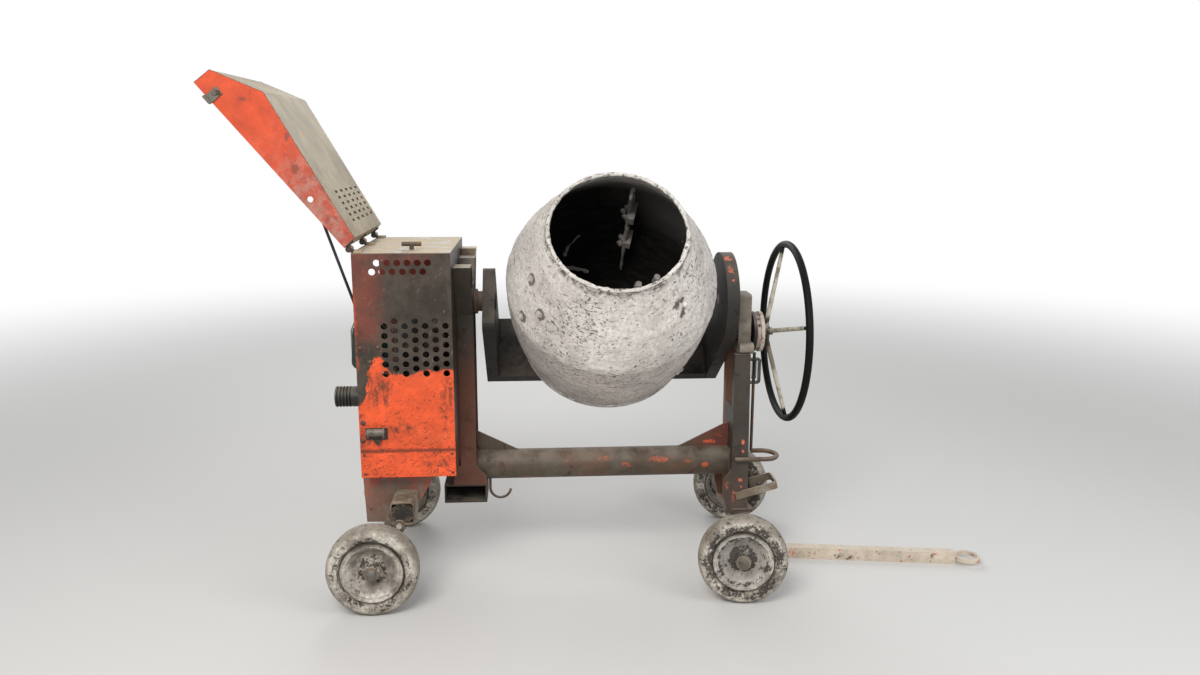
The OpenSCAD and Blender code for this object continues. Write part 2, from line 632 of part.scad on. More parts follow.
module hood_latch() centred() color(bare_steel) at_hinge() translate([case_x0 - hinge_x - hood_gap, 0, 54 - hood_len - hood_lift]) {
    block(-47, 7, -case_y - latch_t, -case_y, 0, 30);
    block(-2, 7, -case_y - 22, -case_y - latch_t, 0, 30);
    translate([-30, 0, 15]) rod_y(6, -case_y - latch_t - 5, -case_y - latch_t);
}
prop_y = -case_y + 25;
prop_x = case_x0 + 9;
prop_z = 1060;
prop_len = 340;
prop_lean = 18;
module prop_rod() centred() color(black_paint) translate([prop_x, prop_y, prop_z]) rotate([0, -prop_lean, 0]) {
    cylinder(r = 5, h = prop_len);
    rod_y(9, -6, 6);
    rod_y(5, -case_y + sheet + face_gap - prop_y, 0);
}

// Front axle, turned about the king pin, with the lugs that carry the drawbar
bar_pivot_x = 110;
bar_pivot_z = 90;
bar_pin_r = 8;
lug_in = bar_w / 2 + 9;
module front_axle() centred() at_front() color(rust_brown) {
    stubs();
    block(-25, 25, -stub_inner + 12, stub_inner - 12, tyre_r - 25, tyre_r + 25);
    both_sides() plate_y(stub_inner - 34, stub_inner - 22) polygon(rounded([[-38, tyre_r - 38, 14], [38, tyre_r - 38, 14],
                                                                            [38, tyre_r + 38, 14], [-38, tyre_r + 38, 14]]));
    translate([0, 0, tyre_r]) cylinder(r = king_r, h = king_z - tyre_r + 30);
    translate([0, 0, tyre_r + 25]) cylinder(r = 45, h = king_z - king_t - face_gap - tyre_r - 25);
    both_sides() plate_y(lug_in, lug_in + 8) difference() {
        union() {
            polygon([[20, tyre_r + 22], [20, tyre_r - 24], [bar_pivot_x - 16, bar_pivot_z - 18], [bar_pivot_x + 16, bar_pivot_z + 16]]);
            translate([bar_pivot_x, bar_pivot_z]) circle(r = 22);
        }
        translate([bar_pivot_x, bar_pivot_z]) circle(r = bar_pin_r + run_gap);
    }
}
module drawbar() centred() at_front() color(dust) {
    plate_y(-bar_w / 2, bar_w / 2) {
        translate([bar_pivot_x, bar_pivot_z]) circle(r = 20);
        polygon([[bar_pivot_x - 18, bar_pivot_z], [bar_pivot_x + 40, 0], [bar_pivot_x + 60, bar_w],
                 [bar_pivot_x + 18, bar_pivot_z + 10]]);
        translate([bar_pivot_x + 40, 0]) square([bar_len - eye_r - bar_pivot_x - 40, bar_w]);
    }
    translate([bar_pivot_x, 0, bar_pivot_z]) rod_y(bar_pin_r, -lug_in - 14, lug_in + 14);
}
module tow_eye() centred() at_front() color(rust_brown) translate([bar_len, 0, (bar_w - eye_t) / 2]) difference() {
    cylinder(r = eye_r, h = eye_t);
    translate([0, 0, -1]) cylinder(r = eye_hole_r, h = eye_t + 2);
}

// Yoke: left arm, base and right arm with its round cover, each a plate with flanges
yoke_end = 40;
pan_t = 5;
spindle_r = 25;
drive_s = -yoke_base - yoke_t - 36;
drive_r = 24;
case_half = 46;
arm_rows = [[-yoke_w / 2, -yoke_base - flange_w, 0], [yoke_w / 2, -yoke_base - flange_w, 0], [yoke_w / 2, yoke_end, 30],
            [-yoke_w / 2, yoke_end, 30]];
// Round cover that runs straight down to the base's corners
module pan_2d(r, half, base) {
    p = [half, -base];
    t = atan2(-base, half) + acos(r / norm(p));
    circle(r = r);
    polygon([[-half, -base], p, r * [cos(t), sin(t)], [-r * cos(t), r * sin(t)]]);
}
module yoke() centred() at_trunnion() color(worn_brown) difference() {
    union() {
        plate_x(-yoke_left - flange_w, -yoke_left - yoke_t) difference() {
            polygon(rounded(arm_rows));
            polygon(inset(rounded(arm_rows), yoke_t));
        }
        plate_x(-yoke_left - yoke_t, -yoke_left) polygon(rounded(arm_rows));
        difference() {
            plate_x(yoke_right, yoke_right + flange_w) pan_2d(pan_r, yoke_w / 2, yoke_base + flange_w);
            plate_x(yoke_right + yoke_t, yoke_right + flange_w + 1)
                pan_2d(pan_r - pan_t, yoke_w / 2 - yoke_t, yoke_base + flange_w - yoke_t);
        }
        difference() {
            block(-yoke_left, yoke_right, -yoke_w / 2, yoke_w / 2, -yoke_base - flange_w, -yoke_base);
            block(-yoke_left - 1, yoke_right + 1, -yoke_w / 2 + yoke_t, yoke_w / 2 - yoke_t, -yoke_base - flange_w - 1,
                  -yoke_base - yoke_t);
        }
    }
    translate([0, 0, -yoke_base - yoke_t - 1]) cylinder(r = spindle_r + run_gap, h = yoke_t + 2);
    translate([0, 0, drive_s]) rod_x(drive_r + run_gap, -yoke_left - yoke_t - 1, -yoke_left + 1);
    block(-yoke_left - flange_w - 1, -yoke_left - yoke_t, -case_half + 4, case_half - 4, -yoke_base - flange_w - 1,
          -yoke_base - flange_w + yoke_t + 1);
    rod_x(trunnion_l_r, -yoke_left - flange_w - 1, -yoke_left + 1);
    rod_x(trunnion_r_r, yoke_right - 1, yoke_right + yoke_t + 1);
}
// Drive of the drum: a case in the left arm, a shaft tube behind the base and the spindle's housing
drive_t = 30;
housing_r = 60;
flange_t = 9;
module yoke_drive() centred() at_trunnion() color(dark_iron) difference() {
    union() {
        plate_x(-yoke_left - yoke_t - drive_t, -yoke_left - yoke_t) polygon(rounded([[-case_half - 10, 30, 18],
            [-case_half + 8, drive_s - 26, 30], [case_half - 8, drive_s - 26, 30], [case_half + 10, 30, 18]], 8));
        translate([0, 0, drive_s]) rod_x(drive_r, -yoke_left - yoke_t - 1, -housing_r + 10);
        translate([0, 0, -yoke_base - yoke_t - flange_t]) cylinder(r = housing_r + 16, h = flange_t);
        translate([0, 0, drive_s - 34]) cylinder(r = housing_r, h = 64);
    }
    rod_x(trunnion_l_r + run_gap, -yoke_left - flange_w - 1, -yoke_left + 1);
    translate([0, 0, drive_s - 24]) cylinder(r = spindle_r + run_gap, h = 80);
}
module trunnion_left() centred() at_trunnion() color(rust_brown) {
    rod_x(trunnion_l_r, post_x0 - drum_x + 1, -yoke_left);
    rod_x(trunnion_l_r + 9, post_x1 - drum_x + face_gap, post_x1 - drum_x + 14);
}
module trunnion_right() centred() at_trunnion() color(rust_brown)
    rod_x(trunnion_r_r, yoke_right, head_x1 - drum_x);

// Involute tooth form, as a polygon of all teeth
pressure = 20;
addendum = 0.8;
dedendum = 1.1;
backlash = 0.5;
function involute(base_r, r) = let (a = acos(base_r / r)) tan(a) * 180 / PI - a;
function tooth_angle(teeth, r) = let (pr = gear_module * teeth / 2, br = pr * cos(pressure))
    90 / teeth - backlash / pr * 90 / PI + involute(br, pr) - involute(br, max(r, br));
module gear_2d(teeth) {
    pr = gear_module * teeth / 2;
    root = pr - gear_module * dedendum;
    tip = pr + gear_module * addendum;
    radii = [root, max(root + 1, pr * cos(pressure)), pr - 1, pr + 1.5, tip];
    polygon([for (t = [0:teeth - 1]) each [
        for (r = radii) let (a = 360 * t / teeth - tooth_angle(teeth, r)) r * [cos(a), sin(a)],
        for (r = reversed(radii)) let (a = 360 * t / teeth + tooth_angle(teeth, r)) r * [cos(a), sin(a)]]]);
}
gear_x = yoke_right + yoke_t + 4;
gear_face = 24;
// The gear's tooth space meets the pinion's tooth straight below the trunnion
gear_phase = -90 - (90 - drum_elev) - 180 / gear_teeth;
module tilt_gear() centred() at_trunnion() color(dark_iron) difference() {
    plate_x(gear_x, gear_x + gear_face) rotate(gear_phase) gear_2d(gear_teeth);
    rod_x(trunnion_r_r, gear_x - 1, gear_x + gear_face + 1);
    plate_x(gear_x + 8, gear_x + gear_face + 1) difference() {
        circle(r = 68);
        circle(r = 34);
    }
}

// Handwheel's shaft with its pinion, the notched disc and the handwheel
disc_x1 = disc_x + disc_w;
groove_w = 14;
// Turns of the handwheel at which the bolt finds a hole: rest, drum upright, drum emptied out
lock_turns = [0, tilt_up * gear_teeth / pinion_teeth, tilt_down * gear_teeth / pinion_teeth];
hub_x1 = disc_x1 + 32;
wheel_x = disc_x1 + 94;
wheel_hub_r = 32;
spoke_r = 8;
module pinion() centred() at_shaft() color(dark_iron) {
    translate([drum_x, 0, 0]) plate_x(gear_x, gear_x + gear_face) rotate(90) gear_2d(pinion_teeth);
    rod_x(shaft_r, drum_x + gear_x + gear_face, hub_x1 - 6);
    rod_x(shaft_r + 12, head_x1 + bar_reach + face_gap, disc_x);
}
module lock_disc() centred() at_shaft() color(dust) difference() {
    rod_x(disc_r, disc_x, disc_x1);
    rod_x(shaft_r, disc_x - 1, disc_x1 + 1);
    plate_x(disc_x + (disc_w - groove_w) / 2, disc_x + (disc_w + groove_w) / 2) difference() {
        circle(r = disc_r + 1);
        circle(r = disc_r - 10);
    }
    for (a = lock_turns) rotate([a, 0, 0]) translate([lock_x, 0, -disc_r - 1]) cylinder(r = bolt_r + 0.5, h = 31);
}
module handwheel() centred() at_shaft() color(black_paint) {
    rim_mid = (handwheel_d - handwheel_tube) / 2;
    spoke_x = hub_x1 - 12;
    translate([wheel_x, 0, 0]) rotate([0, 90, 0]) rotate_extrude() translate([rim_mid, 0]) circle(d = handwheel_tube, $fn = 24);
    difference() {
        rod_x(wheel_hub_r, disc_x1, hub_x1);
        rod_x(shaft_r, disc_x1 - 1, hub_x1 - 6);
    }
    spoke_lean = atan2(wheel_x - spoke_x, rim_mid - 20);
    for (a = [-4:90:266]) rotate([a, 0, 0]) translate([spoke_x, 0, 20]) rotate([0, spoke_lean, 0])
        cylinder(r = spoke_r, h = norm([wheel_x - spoke_x, rim_mid - 20]));
}

// Drum: cone, shell and floor, parted at their welded seams, each with the wall's thickness
function inside(rows) = [for (row = rows) [row[0], row[1] - drum_wall * 1.03, row[2]]];
module drum_ring(rows) rotate_extrude()
    polygon([for (p = concat(open_rounded(rows), reversed(open_rounded(inside(rows))))) [p[1], p[0]]]);
module drum_cone() centred() at_trunnion() color(cement) drum_ring(cone_rows);
module drum_shell() centred() at_trunnion() color(cement) drum_ring(shell_rows);
module drum_floor() centred() at_trunnion() color(cement) rotate_extrude() {
    inner = [[drum_floor + drum_wall, 0, 0], [drum_floor + drum_wall, floor_rows[1][1] - drum_wall, 35],
             [floor_start, floor_rows[2][1] - drum_wall * 1.03, 0]];
    polygon([for (p = concat(open_rounded(floor_rows), reversed(open_rounded(inner)))) [p[1], p[0]]]);
}
module drum_rim() centred() at_trunnion() color(cement)
    translate([0, 0, lip_s]) rotate_extrude() translate([lip_mid_r, 0]) circle(r = lip_r, $fn = 24);
module drum_spindle() centred() at_trunnion() color(rust_brown) {
    translate([0, 0, -yoke_base + face_gap]) cylinder(r = 60, h = yoke_base + drum_floor - face_gap);
    translate([0, 0, drive_s - 20]) cylinder(r = spindle_r, h = yoke_base + drum_floor - drive_s - yoke_base + 19);
}

// Three paddles: a bar that follows the wall, two brackets that hold it off, and a thin tail
paddle_angles = [75, -45, -165];
paddle_off = 22;
paddle_d = 42;
paddle_t = 10;
paddle_rows = [[262, drum_r - 36], [150, drum_r - 7], [40, drum_r - 5], [-30, drum_r - 16], [-105, drum_r - 32]];
bracket_rows = [113, -53];
module drum_cavity() rotate_extrude() {
    rows = concat([[0, floor_start + 1]], [for (p = open_rounded(inside(concat(shell_rows, [cone_rows[1], cone_rows[2]]))))
        [p[1] - face_gap, p[0]]]);
    polygon(concat(rows, [[0, mouth_end]]));
}
module paddles() centred() at_trunnion() color(worn_brown) for (a = paddle_angles) rotate([0, 0, a]) {
    plate_y(-paddle_t / 2, paddle_t / 2) polygon(concat(
        [for (row = paddle_rows) [row[1] - paddle_off - paddle_d, row[0]]],
        [for (row = reversed(paddle_rows)) [row[1] - paddle_off, row[0]]]));
    translate([drum_r - 32 - paddle_off - paddle_d / 2, 0, -250]) cylinder(r = 6, h = 150);
    intersection() {
        for (s = bracket_rows) block(drum_r - 90, drum_r + 10, -24, paddle_t / 2, s - 17, s + 17);
        drum_cavity();
    }
}

main_tube();
rear_bracket();
rear_axle();
skirt();
front_panel();
back_panel();
side_panel();
top_panel();
top_handle();
hood_hinges();
hood_catch();
engine();
flywheel();
silencer();
fuel_tank();
air_cleaner();
left_post();
drive_cover();
stand_legs();
stand_head();
king_plate();
fork_pocket();
tube_hook();
lock_bolt();
lock_pedal();
bar_clip();
hood();
hood_latch();
prop_rod();
front_axle();
drawbar();
tow_eye();
tyre(-1);  // tyre_rear_near
rim(-1);  // rim_rear_near
tyre(1);  // tyre_rear_far
rim(1);  // rim_rear_far
front_tyre(-1);  // tyre_front_near
front_rim(-1);  // rim_front_near
front_tyre(1);  // tyre_front_far
front_rim(1);  // rim_front_far
yoke();
yoke_drive();
trunnion_left();
trunnion_right();
tilt_gear();
drum_cone();
drum_shell();
drum_floor();
drum_rim();
drum_spindle();
paddles();
handwheel();
lock_disc();
pinion();
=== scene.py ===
# %% [markdown]
# This lesson dresses a portable site mixer: an engine housing, a long pipe with wheels, a drum in a tilting
# yoke and a handwheel. The solids come ready made, at their real size and in their real place. Everything
# here adds what the eye expects on top of them: paint that has lived outdoors, cement crust, bolts and weld
# seams.

# %% Load the machine
import json
import math
import random

import bmesh
import bpy
from mathutils import Matrix, Vector, noise


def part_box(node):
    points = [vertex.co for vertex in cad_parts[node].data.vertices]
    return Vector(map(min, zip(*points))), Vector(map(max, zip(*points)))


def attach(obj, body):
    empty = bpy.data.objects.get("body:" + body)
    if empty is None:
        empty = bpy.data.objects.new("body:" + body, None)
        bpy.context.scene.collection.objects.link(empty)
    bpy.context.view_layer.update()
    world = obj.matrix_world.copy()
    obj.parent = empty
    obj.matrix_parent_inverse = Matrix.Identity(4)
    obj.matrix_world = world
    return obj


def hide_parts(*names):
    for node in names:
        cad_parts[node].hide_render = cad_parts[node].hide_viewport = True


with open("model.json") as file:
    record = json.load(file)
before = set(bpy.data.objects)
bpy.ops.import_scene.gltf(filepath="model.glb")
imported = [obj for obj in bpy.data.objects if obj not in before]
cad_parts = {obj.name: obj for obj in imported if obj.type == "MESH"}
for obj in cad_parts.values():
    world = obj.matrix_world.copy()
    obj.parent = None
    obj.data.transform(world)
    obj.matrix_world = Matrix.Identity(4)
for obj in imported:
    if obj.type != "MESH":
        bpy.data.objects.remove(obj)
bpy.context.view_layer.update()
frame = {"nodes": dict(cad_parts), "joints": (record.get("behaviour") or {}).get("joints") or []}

joint = {j["name"]: j for j in frame["joints"]}

# %% [markdown]
# Every place below is told from one point that is easy to find on the real machine: on the ground, straight
# under the middle of the rear axle. The wheel joints and the trunnion joint say where that point lies in
# the frame, so nothing has to be measured twice. Lengths are metres, X runs towards the drawbar, and -Y is
# the side that the drum's mouth faces.

# %% Places that the frame gives
rear_axle_x = joint["spin_rear_near"]["pos_m"][0]
centre_y = joint["yoke_tilt"]["pos_m"][1]
datum = Vector((rear_axle_x, centre_y, 0))
trunnion = Vector(joint["yoke_tilt"]["pos_m"])
drum_axis = Vector(joint["drum_spin"]["axis"])


def place(x, y, z):
    """A point in the frame, from metres along, across and above the point under the rear axle."""
    return datum + Vector((x, y, z))


drum_stand = Matrix.Translation(trunnion) @ Matrix.Rotation(math.pi / 2 - math.asin(drum_axis.z), 4, "X")


def on_drum(height, radius, degrees):
    """A point by its height above the trunnions along the drum's axis, its radius and its angle."""
    turn = math.radians(degrees)
    return drum_stand @ Vector((radius * math.cos(turn), radius * math.sin(turn), height))


print("datum", [round(v, 3) for v in datum], "trunnion", [round(v, 3) for v in trunnion])

# %% [markdown]
# The camera comes first, because every look is judged through it. It stands where the photographer stood:
# three and a half metres in front of the machine at eye height, tipped down a little, with the wide lens of
# a phone.

# %% Camera
scene = bpy.context.scene
lens_mm = 28.06
eye_height = 1.624
look_down = math.radians(11.544)
look_right = math.radians(4.243)
lean = math.radians(0.215)

camera_data = bpy.data.cameras.new("camera")
camera_data.sensor_width = 36
camera_data.sensor_fit = "HORIZONTAL"
camera_data.lens = lens_mm
camera_data.clip_start = 0.05
camera_data.clip_end = 200
camera = bpy.data.objects.new("camera", camera_data)
scene.collection.objects.link(camera)
camera.matrix_world = (
    Matrix.Translation(place(0.5672, -3.5072, eye_height))
    @ Matrix.Rotation(-look_right, 4, "Z")
    @ Matrix.Rotation(math.pi / 2 - look_down, 4, "X")
    @ Matrix.Rotation(lean, 4, "Z")
)
scene.camera = camera
scene.view_settings.view_transform = "Standard"

# %% [markdown]
# Shader trees get long, so a few short helpers place a node, set what it is told and link what it is given.
# A node's output is kept as a Value: plus, minus and times make the Math nodes, as in a formula on paper.
# The helpers work in the tree of the moment, so the rest of the lesson reads like a list of ingredients.

# %% Helpers for shader nodes


class now:
    """The shader tree that is being built, and the coordinates that its patterns read."""
    tree = None
    spot = None


class Value:
    """A node's output that can be reckoned with."""

    def __init__(self, socket):
        self.socket = socket

    def __add__(self, other):
        return maths("ADD", self, other)

    def __sub__(self, other):
        return maths("SUBTRACT", self, other)

    def __rsub__(self, other):
        return maths("SUBTRACT", other, self)

    def __mul__(self, other):
        return maths("MULTIPLY", self, other)

    def __abs__(self):
        return maths("ABSOLUTE", self)

    __radd__ = __add__
    __rmul__ = __mul__


def feed(socket, value):
    """Links an output into a socket, or writes a plain value there. A colour may leave out its alpha."""
    if isinstance(value, Value):
        value = value.socket
    if isinstance(value, bpy.types.NodeSocket):
        now.tree.links.new(value, socket)
    elif socket.type == "RGBA" and len(value) == 3:
        socket.default_value = (*value, 1)
    else:
        socket.default_value = value


def add(kind, sockets=None, **settings):
    """A shader node in the tree of the moment."""
    made = now.tree.nodes.new("ShaderNode" + kind)
    for name, value in settings.items():
        setattr(made, name, value)
    for name, value in (sockets or {}).items():
        feed(made.inputs[name], value)
    return made


def output(name, kind, sockets=None, **settings):
    return Value(add(kind, sockets, **settings).outputs[name])


def maths(operation, *values, clamp=False):
    return output(0, "Math", dict(enumerate(values)), operation=operation, use_clamp=clamp)


def vectors(operation, *values):
    name = "Value" if operation in ("LENGTH", "DOT_PRODUCT") else "Vector"
    return output(name, "VectorMath", dict(enumerate(values)), operation=operation)


def either(*values):
    """The larger of some masks, at each place."""
    result = values[0]
    for value in values[1:]:
        result = maths("MAXIMUM", result, value)
    return result


def ramp(value, low, high):
    """0 below low, 1 above high, and a soft step between them. Low may be above high."""
    sockets = {"Value": value, "From Min": low, "From Max": high}
    return output("Result", "MapRange", sockets, interpolation_type="SMOOTHSTEP")


def mixed(factor, a, b, blend="MIX"):
    """Colour a where the factor is 0 and colour b where it is 1."""
    return output(2, "Mix", {0: factor, 6: a, 7: b}, data_type="RGBA", blend_type=blend)


def tinted(colour, tint):
    return mixed(1, colour, tint, "MULTIPLY")


def between(mask, low, high):
    """A number that is low where the mask is 0 and high where it is 1."""
    return output("Result", "MapRange", {"Value": mask, "To Min": low, "To Max": high})


def noise_of(scale, detail=6, roughness=0.6, distortion=0, at=None):
    sockets = {"Vector": at or now.spot, "Scale": scale, "Detail": detail, "Roughness": roughness,
               "Distortion": distortion}
    return output("Fac", "TexNoise", sockets)

# %% [markdown]
# The stage is a pale floor that runs out to white, so the eye has nothing to look at but the machine. Only
# camera and mirror rays see the white, which keeps the light on the object soft and even.

# %% Floor, background and lamps
floor_size = 60
floor_mesh = bpy.data.meshes.new("floor")
bm = bmesh.new()
bmesh.ops.create_grid(bm, x_segments=1, y_segments=1, size=floor_size / 2)
bm.to_mesh(floor_mesh)
bm.free()
floor = bpy.data.objects.new("floor", floor_mesh)
scene.collection.objects.link(floor)


def fresh_tree(owner):
    owner.use_nodes = True
    now.tree = owner.node_tree
    now.tree.nodes.clear()


def background(colour, strength):
    return add("Background", {"Color": colour, "Strength": strength}).outputs[0]


def rays(*kinds):
    """Mask of the rays of some kinds."""
    seen = add("LightPath")
    return either(*(Value(seen.outputs[f"Is {kind} Ray"]) for kind in kinds))


floor_paint = bpy.data.materials.new("floor")
fresh_tree(floor_paint)
far = vectors("LENGTH", output("Object", "TexCoord"))
fade = ramp(far, 2.6, 9) * rays("Camera", "Glossy", "Transmission")
matt = add("BsdfPrincipled", {"Base Color": (0.62, 0.61, 0.59), "Roughness": 0.85})
white = add("Emission", {"Color": (1, 1, 1), "Strength": 1})
blend = add("MixShader", {0: fade, 1: matt.outputs[0], 2: white.outputs[0]})
add("OutputMaterial", {"Surface": blend.outputs[0]})
floor_mesh.materials.append(floor_paint)

world = bpy.data.worlds.new("studio")
scene.world = world
fresh_tree(world)
glow = background((0.95, 0.97, 1), 0.52)
mirror = background((0.9, 0.92, 0.95), 0.8)
shine = add("MixShader", {0: rays("Glossy"), 1: glow, 2: mirror})
mix = add("MixShader", {0: rays("Camera", "Transmission"), 1: shine.outputs[0], 2: background((1, 1, 1), 1)})
add("OutputWorld", {"Surface": mix.outputs[0]})


def lamp(name, spot, aim, size, watts, tint=(1, 1, 1)):
    """A square soft box that stands at spot and looks at aim."""
    data = bpy.data.lights.new(name, "AREA")
    data.shape = "SQUARE"
    data.size = size
    data.energy = watts
    data.color = tint
    made = bpy.data.objects.new(name, data)
    scene.collection.objects.link(made)
    made.location = spot
    made.rotation_mode = "QUATERNION"
    made.rotation_quaternion = (aim - spot).to_track_quat("-Z", "Y")
    print("lamp", name, watts, "W")


middle = place(0.9, 0, 0.7)
lamp("key", place(-0.6, -3.4, 3.6), middle, 2.2, 150, (1.0, 0.98, 0.95))
lamp("fill", place(4.2, -2.6, 2.4), middle, 2.4, 60, (0.95, 0.98, 1.0))
lamp("back", place(0.4, 3.6, 3.2), middle, 2.4, 70)

# %% [markdown]
# Old site machines share a few effects: flakes of paint that are missing, corners rubbed bare, dust that
# settles on what faces up, and a crust of dried cement. Each is a node group with named inputs, so each
# finish below can ask for as much of it as the real surface shows.

# %% Effects as node groups


def effect(name, inputs, outputs):
    """Starts a node group that reads coordinates. Returns it, its inputs as Values and its output sockets."""
    group = bpy.data.node_groups.new(name, "ShaderNodeTree")
    for label, value in {"Vector": None, **inputs}.items():
        kind = "Vector" if value is None else "Color" if isinstance(value, tuple) else "Float"
        made = group.interface.new_socket(label, in_out="INPUT", socket_type="NodeSocket" + kind)
        if value is not None:
            made.default_value = value
    for label in outputs:
        kind = "Color" if label == "Color" else "Float"
        group.interface.new_socket(label, in_out="OUTPUT", socket_type="NodeSocket" + kind)
    now.tree = group
    given = {socket.name: Value(socket) for socket in group.nodes.new("NodeGroupInput").outputs}
    now.spot = given["Vector"]
    print("effect", name)
    return group, given, group.nodes.new("NodeGroupOutput").inputs


def use(group, **sockets):
    """A node group placed in a material, its inputs given by name. Returns its outputs by name."""
    made = now.tree.nodes.new("ShaderNodeGroup")
    made.node_tree = group
    for name, value in {"Vector": now.spot, **sockets}.items():
        feed(made.inputs[name], value)
    return {socket.name: Value(socket) for socket in made.outputs}


flaked_paint, given, out = effect("flaked paint", {"Scale": 8.0, "Amount": 0.3}, ["Mask", "Rim"])
wide = noise_of(given["Scale"], 9, 0.72, 0.3)
level = given["Amount"] * -0.42 + 0.72
gap = wide - level
feed(out["Mask"], ramp(gap, -0.008, 0.012))
feed(out["Rim"], ramp(gap, -0.05, 0))

rubbed_edge, given, out = effect("rubbed edge", {"Width": 0.004, "Amount": 0.5}, ["Mask"])
round_normal = output("Normal", "Bevel", {"Radius": given["Width"]}, samples=6)
true_normal = output("Normal", "NewGeometry")
match = vectors("DOT_PRODUCT", round_normal, true_normal)
bare = ramp(match, 0.98, 0.86)
broken = noise_of(34, 6, 0.7)
limit = 0.78 - given["Amount"] * 0.5
feed(out["Mask"], bare * ramp(broken, limit, limit + 0.08))

settled_dust, given, out = effect("settled dust", {"Amount": 0.5}, ["Mask"])
facing = output("Z", "SeparateXYZ", {0: output("Normal", "NewGeometry")})
cover = noise_of(11, 7, 0.62)
flat = ramp(facing, 0.15, 0.9)
loose = ramp(cover, 0.3, 0.62) * flat
feed(out["Mask"], maths("MULTIPLY", loose, given["Amount"], clamp=True))

specks, given, out = effect("specks", {"Scale": 60.0, "Amount": 0.3}, ["Mask"])
fine = noise_of(given["Scale"], 4, 0.75)
broad = noise_of(given["Scale"] * 0.09, 3, 0.5)
level = given["Amount"] * -0.24 + 0.74
level = broad * -0.22 + (level + 0.11)
feed(out["Mask"], ramp(fine - level, 0, 0.03))

# %% [markdown]
# Dried cement is not one grey. It is pale where it is thick and dry, darker where it is thin or damp,
# pitted, and broken by flecks where it has fallen off. The crust group gives its colour and its height
# together, so that the pits are dark and deep in the same places.

# %% Cement crust
crust_inputs = {"Scale": 6.0, "Pale": (0.60, 0.565, 0.52, 1), "Grey": (0.33, 0.31, 0.29, 1),
                "Dark": (0.045, 0.038, 0.032, 1), "Bare": 0.3, "Flecks": 0.3}
cement_crust, given, out = effect("cement crust", crust_inputs, ["Color", "Height", "Bare"])
cloud = noise_of(given["Scale"], 8, 0.6)
patch = noise_of(given["Scale"] * 2.3, 9, 0.68, 0.4)
tone = mixed(ramp(cloud, 0.34, 0.66), given["Grey"], given["Pale"])
level = given["Bare"] * -0.36 + 0.8
bare = ramp(patch - level, 0, 0.04)
fleck = use(specks, Scale=70, Amount=given["Flecks"])["Mask"]
gone = either(bare, fleck * 0.9)
feed(out["Color"], mixed(gone, tone, given["Dark"]))
grit = noise_of(160, 3, 0.6)
lumps = grit * 0.25 + patch * 0.8
feed(out["Height"], lumps - gone * 0.35)
feed(out["Bare"], gone)

# %% [markdown]
# A finish is one function call: its paint, what lies under the paint, and how much of each effect it shows.
# The Principled shader itself stays in the material, and its plain numbers are set on its own sockets.

# %% Worn paint and bare metal


def new_finish(name, specular=0.4):
    """Starts an empty material, whose patterns read the machine's coordinates. Returns it and its shader."""
    made = bpy.data.materials.new(name)
    fresh_tree(made)
    shader = add("BsdfPrincipled", {"Specular IOR Level": specular})
    add("OutputMaterial", {"Surface": shader.outputs[0]})
    now.spot = vectors("SUBTRACT", output("Object", "TexCoord"), datum)
    print("finish", name)
    return made, shader


def surface(shader, colour, roughness, height, depth):
    """Feeds a colour, a roughness and a bump height into a shader."""
    feed(shader.inputs["Base Color"], colour)
    feed(shader.inputs["Roughness"], roughness)
    bump = output("Normal", "Bump", {"Height": height, "Strength": 0.8, "Distance": depth})
    feed(shader.inputs["Normal"], bump)


def parts_of(vector=None):
    made = add("SeparateXYZ", {0: vector or now.spot})
    return {socket.name: Value(socket) for socket in made.outputs}


def stretched(x, y, z, at=None):
    """The coordinates scaled per axis. A pattern read there is long along axes with small numbers."""
    return vectors("MULTIPLY", at or now.spot, (x, y, z))


def around(centre, radii, ragged=0.5, scale=14.0, soft=0.15):
    """Mask of a ragged blot: 1 at its centre, 0 outside its radii, and chips towards its edge."""
    offset = vectors("SUBTRACT", now.spot, centre)
    reach = vectors("LENGTH", stretched(*(1 / r for r in radii), at=offset))
    wobble = noise_of(scale, 9, 0.78)
    reach = (wobble - 0.5) * (4 * ragged) + reach
    return ramp(reach, 1, 1 - soft)

# %% [markdown]
# Worn paint is built in the order in which it aged: fresh paint, flakes and rubbed edges that show what is
# below, stains, dirt in specks, and dust last of all. Dirt and dust are dull, so they raise the roughness
# too.

# %% Worn paint


def worn_paint(name, paint, under, dust, flakes=0.3, flake_size=9.0, edges=0.6, dusty=0.5, dirt=0.3,
               rough=(0.42, 0.8), washes=(), depth=0.0012):
    """Paint with flakes gone, rubbed edges, dirt, and dust on what faces up. Each wash is a function
    that gives a mask and a colour, laid over the paint before the dirt and the dust."""
    made, shader = new_finish(name)
    tint = noise_of(3.5, 5, 0.55)
    fresh = mixed(ramp(tint, 0.35, 0.7), paint, tuple(0.74 * c for c in paint))
    flaked = use(flaked_paint, Scale=flake_size, Amount=flakes)
    gone = either(flaked["Mask"], use(rubbed_edge, Amount=edges)["Mask"])
    rusty = noise_of(26, 8, 0.7)
    below = mixed(ramp(rusty, 0.36, 0.66), under, tuple(1.8 * c for c in under))
    colour = mixed(gone, fresh, below)
    for wash in washes:
        mask, tone = wash()
        colour = mixed(mask, colour, tone)
    cloudy = noise_of(17, 8, 0.68)
    colour = tinted(colour, mixed(ramp(cloudy, 0.3, 0.72), (0.82, 0.82, 0.82), (1.14, 1.13, 1.12)))
    spots = use(specks, Scale=75, Amount=dirt)["Mask"]
    colour = mixed(spots * 0.8, colour, grime)
    powder = use(settled_dust, Amount=dusty)["Mask"]
    colour = mixed(powder, colour, dust)
    dull = either(gone, powder)
    roughness = between(dull, *rough)
    fine = noise_of(210, 3, 0.6)
    height = fine * 0.25 + gone * -0.7
    surface(shader, colour, roughness, height, depth)
    return made


